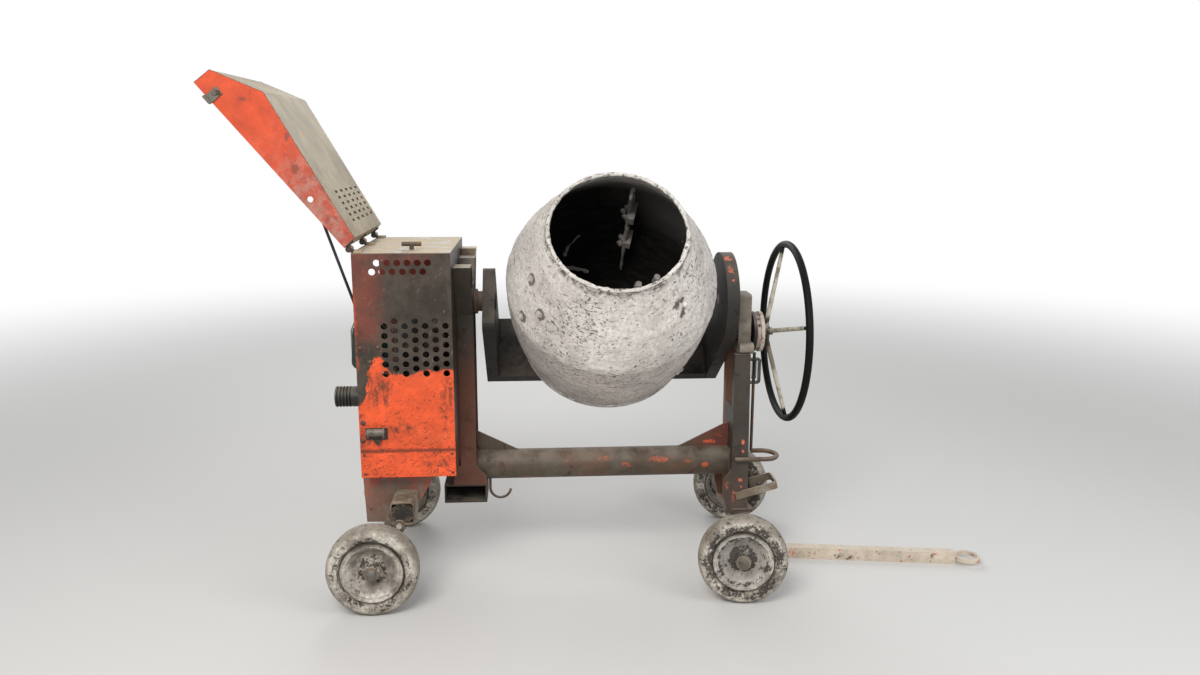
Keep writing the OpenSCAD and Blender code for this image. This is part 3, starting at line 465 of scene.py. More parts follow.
orange = (0.8, 0.1, 0.025)
dark_brown = (0.052, 0.04, 0.029)
beige_dust = (0.44, 0.36, 0.25)
grey_dust = (0.3, 0.255, 0.2)
grime = (0.04, 0.03, 0.022)

# %% [markdown]
# The housing tells the machine's life. Its upper half is burnt and grimy, and the old orange is left below
# a ragged edge. The grime climbs over the left corner and runs down beside it. It only lies on the outer
# faces, so the inside of the far panel still shows clean paint through the holes.

# %% Washes of the housing


panel_plane = 0.2885


def outer_faces():
    return maths("GREATER_THAN", abs(parts_of()["Y"]), panel_plane)


def burnt_upper():
    parts = parts_of()
    wander = noise_of(9, 8, 0.72) - 0.5
    rise = abs(parts["X"] - 0.03)
    rise = ramp(rise, 0.05, 0.01)
    edge = rise * 0.052 + 0.846
    frayed = (noise_of(26, 8, 0.74) - 0.5) * 0.1 + parts["X"]
    left = ramp(frayed, 0.006, -0.034)
    edge = left * -0.115 + edge
    edge = wander * 0.085 + edge
    upper = ramp(parts["Z"] - edge, -0.004, 0.006)
    tone = noise_of(7, 8, 0.68)
    grey = mixed(ramp(tone, 0.35, 0.68), (0.024, 0.017, 0.012), (0.066, 0.05, 0.036))
    reddish = ramp(parts["X"], 0.085, 0) * ramp(parts["Z"], 0.9, 1.02)
    top_band = ramp(parts["Z"], 1.225, 1.25) * ramp(parts["X"], 0.25, 0.15)
    reddish = either(reddish, top_band) * ramp(noise_of(12, 6, 0.65), 0.32, 0.6)
    grey = mixed(reddish * 0.85, grey, (0.17, 0.042, 0.026))
    runs = noise_of(1, 5, 0.6, at=stretched(60, 60, 3))
    grey = mixed(ramp(runs, 0.58, 0.8) * 0.35, grey, (0.14, 0.115, 0.085))
    chips = use(specks, Scale=60, Amount=0.12)["Mask"]
    grey = mixed(chips * 0.8, grey, (0.3, 0.24, 0.18))
    tilted = output("Vector", "VectorRotate", {"Vector": now.spot, "Angle": 1.1}, rotation_type="Y_AXIS")
    hairs = noise_of(1, 3, 0.6, at=stretched(26, 26, 210, at=tilted))
    grey = mixed(ramp(hairs, 0.675, 0.7) * 0.5, grey, (0.24, 0.19, 0.145))
    keeps = 1 - strip_of_orange(parts)
    return upper * outer_faces() * keeps, grey


def strip_of_orange(parts):
    """Mask of the strip of paint that the grime left along the housing's left corner."""
    ragged = noise_of(22, 7, 0.72)
    edge = (ragged - 0.5) * 0.05 + parts["X"]
    strip = ramp(edge, -0.032, -0.046)
    reach = ramp(parts["Z"], 1.2, 1.1) * ramp(parts["Z"], 0.8, 0.9)
    return strip * reach * 0.42

# %% [markdown]
# Below the grime the orange has been knocked and scraped. Smears, scuffs and chips are separate washes,
# because each has its own grain: soft blots, long thin lines and small hard spots.

# %% Smears, scuffs and chips of the housing


def brown_smears():
    drawn = stretched(1, 1, 0.35)
    mask = either(
        around((0.045, -0.29, 0.785), (0.05, 0.2, 0.095), 1, 30, 0.9),
        around((0, -0.29, 0.8), (0.03, 0.2, 0.1), 0.8, 24, 0.9),
        around((0.262, -0.29, 0.755), (0.024, 0.2, 0.12), 1.3, 34, 0.8),
        around((0.07, -0.29, 0.64), (0.085, 0.2, 0.036), 1.2, 30, 0.9),
        around((-0.036, -0.29, 0.62), (0.02, 0.2, 0.13), 1, 34, 0.8),
        around((0.24, -0.29, 0.515), (0.08, 0.2, 0.03), 1.2, 34, 1.3))
    runs = noise_of(60, 7, 0.7, at=drawn)
    mask = mask * ramp(runs, 0.36, 0.6)
    return mask * 0.85 * outer_faces(), (0.07, 0.03, 0.017)


def inner_painted_shade():
    """Painted shade on the inside of the housing: red-brown paint, painted near black lower down, towards the
    engine.
    """
    inner = 1 - outer_faces()
    tone = mixed(ramp(parts_of()["Z"], 0.98, 1.16), (0.03, 0.012, 0.009), (0.3, 0.04, 0.022))
    return inner * 0.93, tone


def panel_seam():
    """The dark joint between skirt and panels, and the grime that gathers along it."""
    gap = abs(parts_of()["Z"] - 0.5625)
    line = ramp(gap, 0.0022, 0.0012)
    ragged = noise_of(40, 7, 0.7) * -0.02 + gap
    return either(line, ramp(ragged, 0, -0.006) * 0.6) * 0.9, (0.045, 0.016, 0.011)


def scratches():
    """Long thin scuffs in dark red, level and slanting. There are more low down, where things knock."""
    low = ramp(parts_of()["Z"], 0.86, 0.5)
    level = noise_of(1, 4, 0.6, at=stretched(24, 24, 180))
    slant = output("Vector", "VectorRotate", {"Vector": now.spot, "Angle": 0.7}, rotation_type="Y_AXIS")
    slanting = noise_of(1, 3, 0.55, at=stretched(24, 24, 190, at=slant))
    limit = low * -0.06 + 0.662
    lines = either(ramp(level - limit, 0, 0.02), ramp(slanting - limit, 0, 0.02))
    return lines * 0.75, (0.16, 0.03, 0.015)


def dark_chips():
    low = ramp(parts_of()["Z"], 0.9, 0.5)
    chips = noise_of(115, 6, 0.74)
    group_of = ramp(noise_of(9, 5, 0.6), 0.44, 0.66)
    limit = low * -0.05 + (group_of * -0.05 + 0.66)
    return ramp(chips - limit, 0, 0.02) * 0.85, (0.07, 0.022, 0.014)


def pale_rubs():
    soft = noise_of(1, 6, 0.6, at=stretched(4, 4, 9))
    return ramp(soft, 0.55, 0.72) * 0.35, (0.86, 0.17, 0.06)


housing_paint = worn_paint(
    "housing_paint", orange, (0.09, 0.03, 0.02), beige_dust, flakes=0.05, flake_size=16, edges=0.55,
    dirt=0.42, dusty=0.7,
    washes=(pale_rubs, scratches, dark_chips, brown_smears, panel_seam, burnt_upper, inner_painted_shade))

# %% [markdown]
# The hood stands open, so its dust lies where rain and hands left it: the outer panels are beige all over,
# and the side goes from clean orange at the free end to pink, scuffed paint at the hinge. How far a point
# is from the free end is found by turning it back into the closed hood.

# %% Washes of the hood
hinge_spot = Vector(joint["hood_hinge"]["pos_m"]) - datum
open_turn = math.radians(140)
along_hood = Vector((math.sin(open_turn), 0, math.cos(open_turn)))
across_hood = Vector((math.cos(open_turn), 0, -math.sin(open_turn)))


def from_hinge():
    """How far a point of the open hood is from its hinge, in metres."""
    return vectors("DOT_PRODUCT", vectors("SUBTRACT", now.spot, hinge_spot), -along_hood)


def sideways():
    """How much the real face under a point looks sideways, from 0 to 1."""
    return abs(parts_of(output("True Normal", "NewGeometry"))["Y"])


def hood_top_dust():
    outer = ramp(sideways(), 0.6, 0.4)
    tone = noise_of(4, 7, 0.62)
    dust = mixed(ramp(tone, 0.36, 0.66), (0.27, 0.215, 0.135), (0.4, 0.33, 0.215))
    streaky = noise_of(1, 6, 0.62, at=stretched(5, 26, 5))
    dust = mixed(ramp(streaky, 0.52, 0.75) * 0.5, dust, (0.22, 0.155, 0.105))
    thin = noise_of(7, 9, 0.7)
    cover = 1 - ramp(thin, 0.66, 0.72) * 0.7
    return outer * cover, dust


def hood_inner():
    """The hood's inside faces: old grey-brown grime."""
    inner = maths("LESS_THAN", abs(parts_of()["Y"]), panel_plane)
    return inner * ramp(from_hinge(), 0.42, 0.3) * ramp(sideways(), 0.4, 0.6), (0.13, 0.11, 0.082)


def hood_side_age():
    near_hinge = ramp(noise_of(8, 7, 0.7) * 0.22 + from_hinge(), 0.62, 0.28)
    tone = noise_of(30, 8, 0.72)
    worn = mixed(ramp(tone, 0.4, 0.6), (0.38, 0.066, 0.04), (0.37, 0.185, 0.145))
    worn = mixed(ramp(noise_of(19, 7, 0.7), 0.55, 0.64) * 0.6, worn, (0.13, 0.045, 0.032))
    return near_hinge * 0.88, worn


def hood_side_marks():
    sides = maths("GREATER_THAN", abs(parts_of()["Y"]), 0.2)

    def at(reach, deep):
        return tuple(hinge_spot - along_hood * reach - across_hood * deep + Vector((0, -0.293, 0)))

    marks = either(
        around(at(0.4, 0.1), (0.01, 0.3, 0.018), 0.8, 40, 0.6),
        around(at(0.36, 0.125), (0.01, 0.3, 0.018), 0.9, 44, 0.6),
        around(at(0.58, 0.075), (0.02, 0.3, 0.008), 1, 40, 0.8),
        around(at(0.185, 0.168), (0.04, 0.3, 0.022), 0.8, 36, 0.9),
        around(at(0.31, 0.05), (0.012, 0.3, 0.016), 1, 50))
    return marks * sides * 0.62, (0.13, 0.05, 0.036)


hood_paint = worn_paint(
    "hood_paint", (0.64, 0.075, 0.02), (0.13, 0.045, 0.03), beige_dust, flakes=0.06, flake_size=12,
    edges=0.5, dirt=0.35, dusty=0.25, rough=(0.62, 0.9),
    washes=(dark_chips, hood_side_age, hood_side_marks, hood_top_dust, hood_inner))

# %% [markdown]
# The frame was orange once. Grime has turned it brown, and the old paint comes through where ropes and
# hands rub.

# %% Washes of the frame


def blotches(limit, tone, scale=9.0, amount=0.85):
    """A wash that shows an old coat in ragged blotches."""
    def wash():
        return ramp(noise_of(scale, 8, 0.72) - limit, 0, 0.02) * amount, tone
    return wash


def blots(tone, amount, *places):
    """A wash of clouds of paint chips, each given by its centre, its radii and how much of it is solid."""
    def wash():
        fine = noise_of(120, 6, 0.75)
        masks = []
        for centre, radii, solid in places:
            inside = around(centre, radii, 0.7, 60, 0.7)
            limit = inside * (-0.12 - 0.25 * solid) + 0.66
            masks.append(inside * ramp(fine - limit, 0, 0.03))
        return either(*masks) * amount, tone
    return wash


def clouds(tone, low, high, scale=4.0, amount=0.6):
    def wash():
        return ramp(noise_of(scale, 8, 0.66), low, high) * amount, tone
    return wash


def brushed_down(tone, scale=40.0, amount=0.4):
    """A wash of faint runs that follow gravity."""
    def wash():
        runs = noise_of(1, 5, 0.62, at=stretched(scale, scale, scale * 0.05))
        return ramp(runs, 0.52, 0.74) * amount, tone
    return wash


def downward_wash(top, bottom, tone, amount=0.8):
    """A wash that grows downwards, from a height to a lower one, broken by noise."""
    def wash():
        ragged = noise_of(12, 8, 0.7) * 0.3 + parts_of()["Z"]
        return ramp(ragged, top + 0.15, bottom + 0.15) * amount, tone
    return wash

# %% [markdown]
# The pipe, its gussets and the bracket show old orange in chips where things knock them. Each cloud of
# chips has a centre and radii that are read off the machine. The lifting pocket is painted near black
# inside, as painted shade, where little light gets to.

# %% Finishes of the pipe, the pocket, the post and the bracket
tube_orange = blots(
    (0.5, 0.085, 0.035), 0.85, ((0.84, -0.05, 0.435), (0.075, 0.1, 0.02), 0.1),
    ((0.93, -0.055, 0.41), (0.05, 0.1, 0.018), 0.2), ((1.06, -0.05, 0.43), (0.08, 0.1, 0.022), 0.3),
    ((1.235, -0.057, 0.405), (0.022, 0.1, 0.017), 0.9), ((0.54, -0.05, 0.366), (0.11, 0.1, 0.01), 0.1),
    ((0.7, -0.05, 0.43), (0.04, 0.1, 0.014), 0), ((0.8, -0.03, 0.372), (0.25, 0.1, 0.012), 0),
    ((1.17, -0.05, 0.42), (0.04, 0.1, 0.014), 0.1))
gusset_orange = blots((0.66, 0.11, 0.035), 0.9, ((1.262, 0, 0.482), (0.045, 0.03, 0.016), 0.5),
                      ((1.295, 0, 0.51), (0.04, 0.03, 0.026), 0.1),
                      ((1.318, 0, 0.54), (0.02, 0.03, 0.026), 0.1))


def gusset_red():
    parts = parts_of()
    raised = ramp(parts["Z"], 0.462, 0.466)
    right = ramp(noise_of(14, 7, 0.7) * 0.12 + parts["X"], 1.22, 1.36)
    return raised * right * 0.85, (0.15, 0.042, 0.028)


tube_paint = worn_paint(
    "tube_paint", (0.078, 0.056, 0.036), (0.045, 0.026, 0.016), grey_dust, flakes=0.25, flake_size=12,
    edges=0.4, dusty=0.5, dirt=0.4, rough=(0.55, 0.85),
    washes=(clouds((0.12, 0.06, 0.036), 0.45, 0.62), clouds((0.11, 0.09, 0.066), 0.5, 0.66, 9, 0.5),
            blotches(0.7, (0.22, 0.06, 0.03), 34), gusset_red, gusset_orange, tube_orange))


def pocket_painted_shade():
    """Painted shade: the inside of the lifting pocket, painted near black."""
    parts = parts_of()
    boxes = (("X", 0.307, 0.0775), ("Z", 0.314, 0.0325), ("Y", 0, 0.0740))
    within = [maths("LESS_THAN", abs(parts[axis] - centre), half) for axis, centre, half in boxes]
    return math.prod(within), (0.007, 0.006, 0.005)


pocket_paint = worn_paint("pocket_paint", (0.05, 0.036, 0.026), (0.045, 0.026, 0.016), grey_dust,
                          flakes=0.25, dusty=0.6, dirt=0.4, rough=(0.6, 0.85),
                          washes=(clouds((0.12, 0.05, 0.03), 0.5, 0.66, 6, 0.5), pocket_painted_shade))
post_paint = worn_paint(
    "post_paint", (0.046, 0.034, 0.024), (0.03, 0.018, 0.012), beige_dust, flakes=0.25, flake_size=11,
    dusty=0.9, dirt=0.3, rough=(0.5, 0.85),
    washes=(brushed_down((0.085, 0.066, 0.048)), downward_wash(0.98, 0.7, (0.15, 0.05, 0.028)),
            blotches(0.66, (0.26, 0.075, 0.035), 16, amount=0.7)))


def upper_red():
    """Old red paint in specks, thicker towards the bracket's top."""
    height = parts_of()["Z"]
    fine = ramp(height, 0.34, 0.46) * 0.16 + noise_of(46, 8, 0.74)
    return ramp(fine, 0.58, 0.64) * 0.85, (0.4, 0.085, 0.05)


bracket_paint = worn_paint(
    "bracket_paint", (0.2, 0.145, 0.112), (0.1, 0.05, 0.033), grey_dust, flakes=0.2, flake_size=10,
    dusty=0.6, dirt=0.4, rough=(0.6, 0.88),
    washes=(clouds((0.24, 0.105, 0.072), 0.42, 0.62, 6, 0.7), upper_red,
            clouds((0.24, 0.2, 0.165), 0.5, 0.64, 8, 0.6), downward_wash(0.4, 0.24, (0.2, 0.155, 0.122), 0.7)))
# The side panel is painted near black, and darker still towards the bottom.
side_paint = worn_paint(
    "side_paint", (0.03, 0.022, 0.016), (0.02, 0.014, 0.01), beige_dust, flakes=0.15, flake_size=9,
    dusty=0.4, dirt=0.3,
    washes=(brushed_down((0.1, 0.078, 0.052), 30, 0.6), downward_wash(1.33, 1.05, (0.02, 0.014, 0.01), 0.7),
            downward_wash(0.92, 0.55, (0.045, 0.022, 0.014), 0.7)))

# %% [markdown]
# Axles, stand and yoke stand in the splash of the drum. The axles are caked in pale dust, the stand is
# brown with red showing through, and the yoke is nearly black.

# %% Finishes of the axles, the stand and the yoke
rusty_steel = worn_paint(
    "rusty_steel", (0.085, 0.058, 0.04), (0.11, 0.055, 0.03), grey_dust, flakes=0.4, flake_size=12,
    dusty=0.5, dirt=0.4, rough=(0.6, 0.88),
    washes=(clouds((0.15, 0.082, 0.055), 0.45, 0.62, 6), clouds((0.17, 0.145, 0.115), 0.5, 0.66, 11, 0.5)))
axle_paint = worn_paint(
    "axle_paint", (0.16, 0.125, 0.088), (0.09, 0.05, 0.03), beige_dust, flakes=0.35, flake_size=14,
    dusty=0.8, dirt=0.45, rough=(0.6, 0.9),
    washes=(clouds((0.3, 0.26, 0.2), 0.42, 0.6, 8, 0.8), clouds((0.11, 0.055, 0.035), 0.5, 0.62, 10, 0.6),
            # Painted shade: this near-black blot darkens the open end of the near axle box.
            blots((0.014, 0.012, 0.009), 0.96, ((0.104, -0.339, 0.347), (0.06, 0.02, 0.056), 4)),
            blots((0.46, 0.43, 0.38), 0.95, ((0.09, -0.356, 0.302), (0.02, 0.009, 0.02), 4))))
leg_orange = blots(
    (0.64, 0.15, 0.085), 0.9, ((1.376, -0.097, 0.505), (0.011, 0.1, 0.016), 0.7),
    ((1.378, -0.097, 0.47), (0.01, 0.1, 0.011), 0.8), ((1.378, -0.097, 0.44), (0.008, 0.1, 0.01), 0.7),
    ((1.37, -0.097, 0.352), (0.014, 0.1, 0.01), 0.7), ((1.344, -0.097, 0.3), (0.011, 0.1, 0.02), 0.3),
    ((1.374, -0.097, 0.325), (0.007, 0.1, 0.008), 0.8))
leg_red = blots((0.46, 0.1, 0.07), 0.7, ((1.345, -0.09, 0.275), (0.014, 0.1, 0.04), 0.3),
                ((1.318, -0.09, 0.33), (0.016, 0.1, 0.04), 0.2))


def far_leg_rust():
    ragged = noise_of(9, 7, 0.7) * 0.05 + parts_of()["Y"]
    return ramp(ragged, 0.062, 0.07) * 0.8, (0.19, 0.085, 0.048)


stand_paint = worn_paint(
    "stand_paint", (0.05, 0.04, 0.031), (0.034, 0.025, 0.019), grey_dust, flakes=0.25, flake_size=12,
    dusty=0.6, dirt=0.4, rough=(0.5, 0.85),
    washes=(brushed_down((0.095, 0.08, 0.064), 36, 0.5), downward_wash(0.5, 0.24, (0.105, 0.07, 0.056), 0.6),
            clouds((0.075, 0.042, 0.03), 0.54, 0.68, 7, 0.5), far_leg_rust, leg_orange, leg_red))
yoke_orange = blots((0.72, 0.15, 0.055), 0.95, ((1.3, -0.1, 1.225), (0.03, 0.075, 0.024), 0.9),
                    ((1.3, -0.125, 1.18), (0.022, 0.04, 0.034), 0.3),
                    ((1.305, -0.15, 1.135), (0.016, 0.03, 0.03), 0.2))
yoke_paint = worn_paint(
    "yoke_paint", (0.016, 0.012, 0.009), (0.011, 0.008, 0.006), grey_dust, flakes=0.3, flake_size=10,
    edges=0.5, dusty=0.3, dirt=0.3, rough=(0.6, 0.85),
    washes=(clouds((0.03, 0.023, 0.017), 0.45, 0.65, 6), blotches(0.69, (0.07, 0.035, 0.022), 18),
            yoke_orange))

# %% [markdown]
# The small pieces each have one finish of their own: black paint, green tank, plastic, dusty sheet, cream
# drawbar, oily iron and greyed steel. They differ only in their tones and in how much of each effect they
# take.

# %% Finishes of the small pieces
black_paint = worn_paint("black_paint", (0.011, 0.011, 0.012), (0.13, 0.125, 0.115), grey_dust, flakes=0.1,
                         flake_size=34, edges=0.25, dusty=0.25, dirt=0.1, rough=(0.28, 0.6),
                         washes=(clouds((0.03, 0.03, 0.028), 0.5, 0.7, 12),))
green_paint = worn_paint("green_paint", (0.01, 0.034, 0.024), dark_brown, grey_dust, flakes=0.12, dusty=0.4,
                         dirt=0.3)
black_plastic = worn_paint("black_plastic", (0.018, 0.017, 0.015), (0.04, 0.036, 0.03), grey_dust,
                           flakes=0.1, dusty=0.6, dirt=0.25, rough=(0.5, 0.75))
dusty_top = worn_paint("dusty_top", (0.2, 0.15, 0.1), dark_brown, (0.5, 0.4, 0.265), flakes=0.08, dusty=1,
                       dirt=0.2, washes=(blotches(0.66, (0.24, 0.075, 0.04), 14, amount=0.6),))
bar_paint = worn_paint(
    "bar_paint", (0.62, 0.53, 0.42), (0.4, 0.24, 0.17), (0.62, 0.56, 0.46), flakes=0.25, flake_size=20,
    dusty=0.6, dirt=0.5, rough=(0.6, 0.85),
    washes=(blotches(0.59, (0.5, 0.11, 0.075), 22), blotches(0.62, (0.1, 0.07, 0.05), 26)))
oily_iron = worn_paint("oily_iron", (0.04, 0.036, 0.031), (0.085, 0.05, 0.03), grey_dust, flakes=0.35,
                       dusty=0.5, dirt=0.3, rough=(0.38, 0.75),
                       washes=(clouds((0.075, 0.062, 0.048), 0.48, 0.66, 10),))
nut_steel = worn_paint("nut_steel", (0.14, 0.128, 0.112), (0.085, 0.058, 0.04), (0.32, 0.29, 0.25),
                       flakes=0.4, flake_size=30, edges=0.9, dusty=0.5, dirt=0.3, rough=(0.4, 0.75))
grey_steel = worn_paint("grey_steel", (0.27, 0.24, 0.2), (0.13, 0.09, 0.06), (0.42, 0.38, 0.32), flakes=0.3,
                        flake_size=18, dusty=0.5, dirt=0.4, rough=(0.5, 0.8),
                        washes=(clouds((0.19, 0.155, 0.12), 0.42, 0.6, 9, 0.8),))


def disc_back_dark():
    """The disc's part towards the rear, below X 1.4225 from the datum, painted near black."""
    return ramp(parts_of()["X"], 1.4235, 1.4225), (0.012, 0.010, 0.008)


disc_paint = worn_paint(
    "disc_paint", (0.52, 0.46, 0.4), (0.19, 0.065, 0.04), (0.55, 0.5, 0.43), flakes=0.3, flake_size=22,
    dusty=0.5, dirt=0.4, rough=(0.55, 0.8),
    washes=(blotches(0.6, (0.17, 0.05, 0.032), 24), clouds((0.62, 0.5, 0.44), 0.5, 0.7, 9, 0.5),
            disc_back_dark))
latch_steel = worn_paint(
    "latch_steel", (0.16, 0.145, 0.115), (0.06, 0.045, 0.032), (0.34, 0.31, 0.25), flakes=0.2, flake_size=30,
    dusty=0.4, dirt=0.4, rough=(0.4, 0.75), washes=(clouds((0.06, 0.048, 0.036), 0.54, 0.66, 30, 0.7),),
    depth=0.0004)


def top_leaf():
    """The hinge leaves lie under the same dust as the top panel."""
    parts = parts_of()
    lies_flat = ramp(parts["Z"], 1.2, 1.21)
    return lies_flat * ramp(parts["X"], hinge_spot.x + 0.014, hinge_spot.x + 0.018), (0.36, 0.285, 0.185)


hinge_steel = worn_paint("hinge_steel", (0.035, 0.027, 0.021), (0.06, 0.035, 0.022), beige_dust, flakes=0.3,
                         flake_size=20, dusty=0.4, dirt=0.3, washes=(top_leaf,), depth=0.0005)
lining_felt = worn_paint("lining_felt", (0.27, 0.25, 0.19), (0.2, 0.18, 0.14), grey_dust, flakes=0.1,
                         edges=0.1, dusty=0.2, dirt=0.3, rough=(0.8, 0.9))

# %% [markdown]
# The handwheel's rim is black and smooth from hands. Its spokes still show the cream primer, so the finish
# asks how far a point is from the shaft.

# %% The handwheel's paint
shaft = Vector(joint["handwheel_turn"]["pos_m"]) - datum
wheel_paint, shader = new_finish("handwheel_paint", specular=0.12)
offset = vectors("SUBTRACT", now.spot, shaft)
reach = vectors("LENGTH", stretched(0, 1, 1, at=offset))
ragged = (noise_of(30, 7, 0.7) - 0.5) * 0.06 + reach
rim = ramp(ragged, 0.3, 0.312)
rim_chips = use(specks, Scale=90, Amount=0.22)["Mask"]
rim_tone = mixed(rim_chips * 0.35, (0.0045, 0.0044, 0.0042), (0.15, 0.145, 0.13))
spoke_tone = mixed(ramp(noise_of(20, 8, 0.7), 0.44, 0.62), (0.44, 0.405, 0.33), (0.17, 0.145, 0.105))
spoke_specks = use(specks, Scale=120, Amount=0.4)["Mask"]
spoke_tone = mixed(spoke_specks, spoke_tone, (0.05, 0.04, 0.03))
hub = ramp(ragged, 0.066, 0.052)
hub_tone = mixed(ramp(noise_of(26, 8, 0.7), 0.46, 0.56), (0.045, 0.038, 0.032), (0.34, 0.29, 0.24))
colour = mixed(hub, mixed(rim, spoke_tone, rim_tone), hub_tone)
roughness = between(rim, 0.75, 0.55)
surface(shader, colour, roughness, noise_of(120, 4, 0.6), 0.0008)

# %% [markdown]
# Cement has been splashed, scraped and rained on for years. On the drum the crust is pale above the seam,
# and below it painted shade darkens it, where the belly turns away from the light. The crust is full of fine
# pits and short scratches. The pattern is squeezed along the drum's axis, so that it runs round the drum as
# the scraper does.

# %% Crust of the drum
mouth_spot = trunnion - datum
lone_heads = ((0.328, 0.316, -160), (0.275, 0.3475, -141), (0.203, 0.3795, -151))


def drum_place():
    """Height along the drum's axis, and the place with that height drawn out, for patterns round it."""
    offset = vectors("SUBTRACT", now.spot, mouth_spot)
    height = vectors("DOT_PRODUCT", offset, drum_axis)
    extra = output("Vector", "VectorMath", {0: drum_axis, "Scale": height * 3}, operation="SCALE")
    return height, vectors("ADD", offset, extra)


def pits_and_dashes(drawn, amount):
    """Mask of fine pits, short dashes round the drum and a few broken clusters."""
    group_of = ramp(noise_of(5.5, 5, 0.6), 0.4, 0.66)
    limit = group_of * -0.048 + (0.645 - amount)
    fine = ramp(noise_of(105, 3, 0.62) - limit, 0, 0.02)
    dash = ramp(noise_of(40, 4, 0.68, at=drawn) - limit, 0, 0.02)
    swirl = vectors("ADD", now.spot,
                    output("Color", "TexNoise", {"Vector": now.spot, "Scale": 7, "Detail": 3}))
    curl = ramp(abs(noise_of(30, 3, 0.6, at=swirl) - 0.5), 0.01, 0.003)
    curl = curl * ramp(noise_of(16, 5, 0.7), 0.56, 0.66)
    return fine, dash, curl


drum_crust, shader = new_finish("drum_crust", specular=0.22)
height, drawn = drum_place()
fine, dash, curl = pits_and_dashes(drawn, 0.005)
cloud = noise_of(4.2, 8, 0.62)
pale = mixed(ramp(cloud, 0.34, 0.66), (0.53, 0.49, 0.455), (0.74, 0.695, 0.645))
strokes = noise_of(13, 7, 0.7, at=drawn)
pale = mixed(ramp(strokes, 0.5, 0.7) * 0.45, pale, (0.33, 0.295, 0.265))
pale = mixed(ramp(strokes, 0.46, 0.3) * 0.4, pale, (0.74, 0.7, 0.655))
mauve = noise_of(8, 6, 0.6)
pale = mixed(ramp(mauve, 0.5, 0.7) * 0.35, pale, (0.4, 0.345, 0.335))
grain = noise_of(70, 5, 0.7)
pale = tinted(pale, mixed(ramp(grain, 0.3, 0.7), (0.8, 0.8, 0.8), (1.12, 1.12, 1.12)))
# Painted shade: the crust below the seam is tinted darker.
lower = ramp(height, 0.146, 0.14)
pale = mixed(lower, pale, tinted(pale, (0.8, 0.775, 0.775)))
near_rim = ramp(height, 0.444, 0.456)
under_rim = ramp(height, 0.425, 0.446) * ramp(height, 0.462, 0.452)
pits = either(fine * 0.75, dash * 0.85, curl * 0.75)
rim_dark = under_rim * ramp(noise_of(38, 7, 0.72), 0.49, 0.55)
rim_specks = near_rim * ramp(noise_of(80, 5, 0.7), 0.57, 0.61)
pits = either(pits, rim_dark * 0.85, rim_specks * 0.8)
colour = mixed(near_rim * 0.4, pale, (0.62, 0.585, 0.53))
colour = mixed(pits, colour, (0.05, 0.038, 0.032))
relief = noise_of(95, 4, 0.66) * 0.35 + strokes * 0.6
relief = relief - pits * 0.55
stains_and_bolt_shadows = either(
    around(on_drum(0.352, 0.303, -49.5) - datum, (0.017, 0.017, 0.019), 0.8, 70),
    around(on_drum(0.352, 0.303, -45) - datum, (0.01, 0.01, 0.013), 0.8, 90),
    around(on_drum(0.312, 0.325, -47.5) - datum, (0.012, 0.012, 0.023), 0.8, 80))
# Painted shadow: a dark ring round each lone bolt head, set a little low.
for height, reach, turn in lone_heads:
    centre = on_drum(height, reach, turn) - datum + Vector((0.003, 0, -0.002))
    stains_and_bolt_shadows = either(stains_and_bolt_shadows, around(centre, [0.0245] * 3, 0.32, 45, 0.2) * 0.85)
white_spot = around(on_drum(0.332, 0.313, -43.5) - datum, (0.008, 0.008, 0.008), 0.4, 90)
colour = mixed(white_spot, colour, (0.86, 0.85, 0.82))
colour = mixed(stains_and_bolt_shadows * 0.85, colour, (0.045, 0.028, 0.018))
surface(shader, colour, 0.92, relief, 0.004)

# %% [markdown]
# Inside, the drum is painted with its own light and shade: pale near the mouth as painted light, and near
# black in its depth as painted shade, where little light falls. The right wall has painted light, as if it
# caught light from the mouth.

# %% Inside of the drum
drum_inside_painted_light, shader = new_finish("drum_inside_painted_light", specular=0.2)
height, drawn = drum_place()
open_end = ramp(height, 0.2, 0.45)
cloud = noise_of(9, 8, 0.7, at=drawn)
# Painted shade deep inside; painted light near the mouth and on the right wall.
deep_shade_tone = mixed(ramp(cloud, 0.42, 0.68), (0.01, 0.009, 0.008), (0.03, 0.027, 0.025))
lit_mouth_tone = mixed(ramp(cloud, 0.36, 0.66), (0.46, 0.43, 0.4), (0.82, 0.77, 0.72))
lit_right_wall = ramp(parts_of()["X"], 0.8, 1.1)
deep_shade_tone = mixed(lit_right_wall * ramp(height, -0.05, 0.25), deep_shade_tone, (0.22, 0.205, 0.19))
colour = mixed(open_end, deep_shade_tone, lit_mouth_tone)
surface(shader, colour, 0.95, cloud, 0.005)

# %% [markdown]
# Blades, bolt heads and knobs carry the same crust at a finer scale, straight from the node group.

# %% Crust of small pieces


def crusted(name, scale=6.0, bare=0.3, flecks=0.3, pale=(0.60, 0.565, 0.52), grey=(0.36, 0.335, 0.31),
            dark=(0.05, 0.042, 0.035)):
    """A crust of cement on a small piece."""
    made, shader = new_finish(name, specular=0.25)
    crust = use(cement_crust, Scale=scale, Pale=pale, Grey=grey, Dark=dark, Bare=bare, Flecks=flecks)
    roughness = between(crust["Bare"], 0.92, 0.7)
    surface(shader, crust["Color"], roughness, crust["Height"], 0.004)
    return made


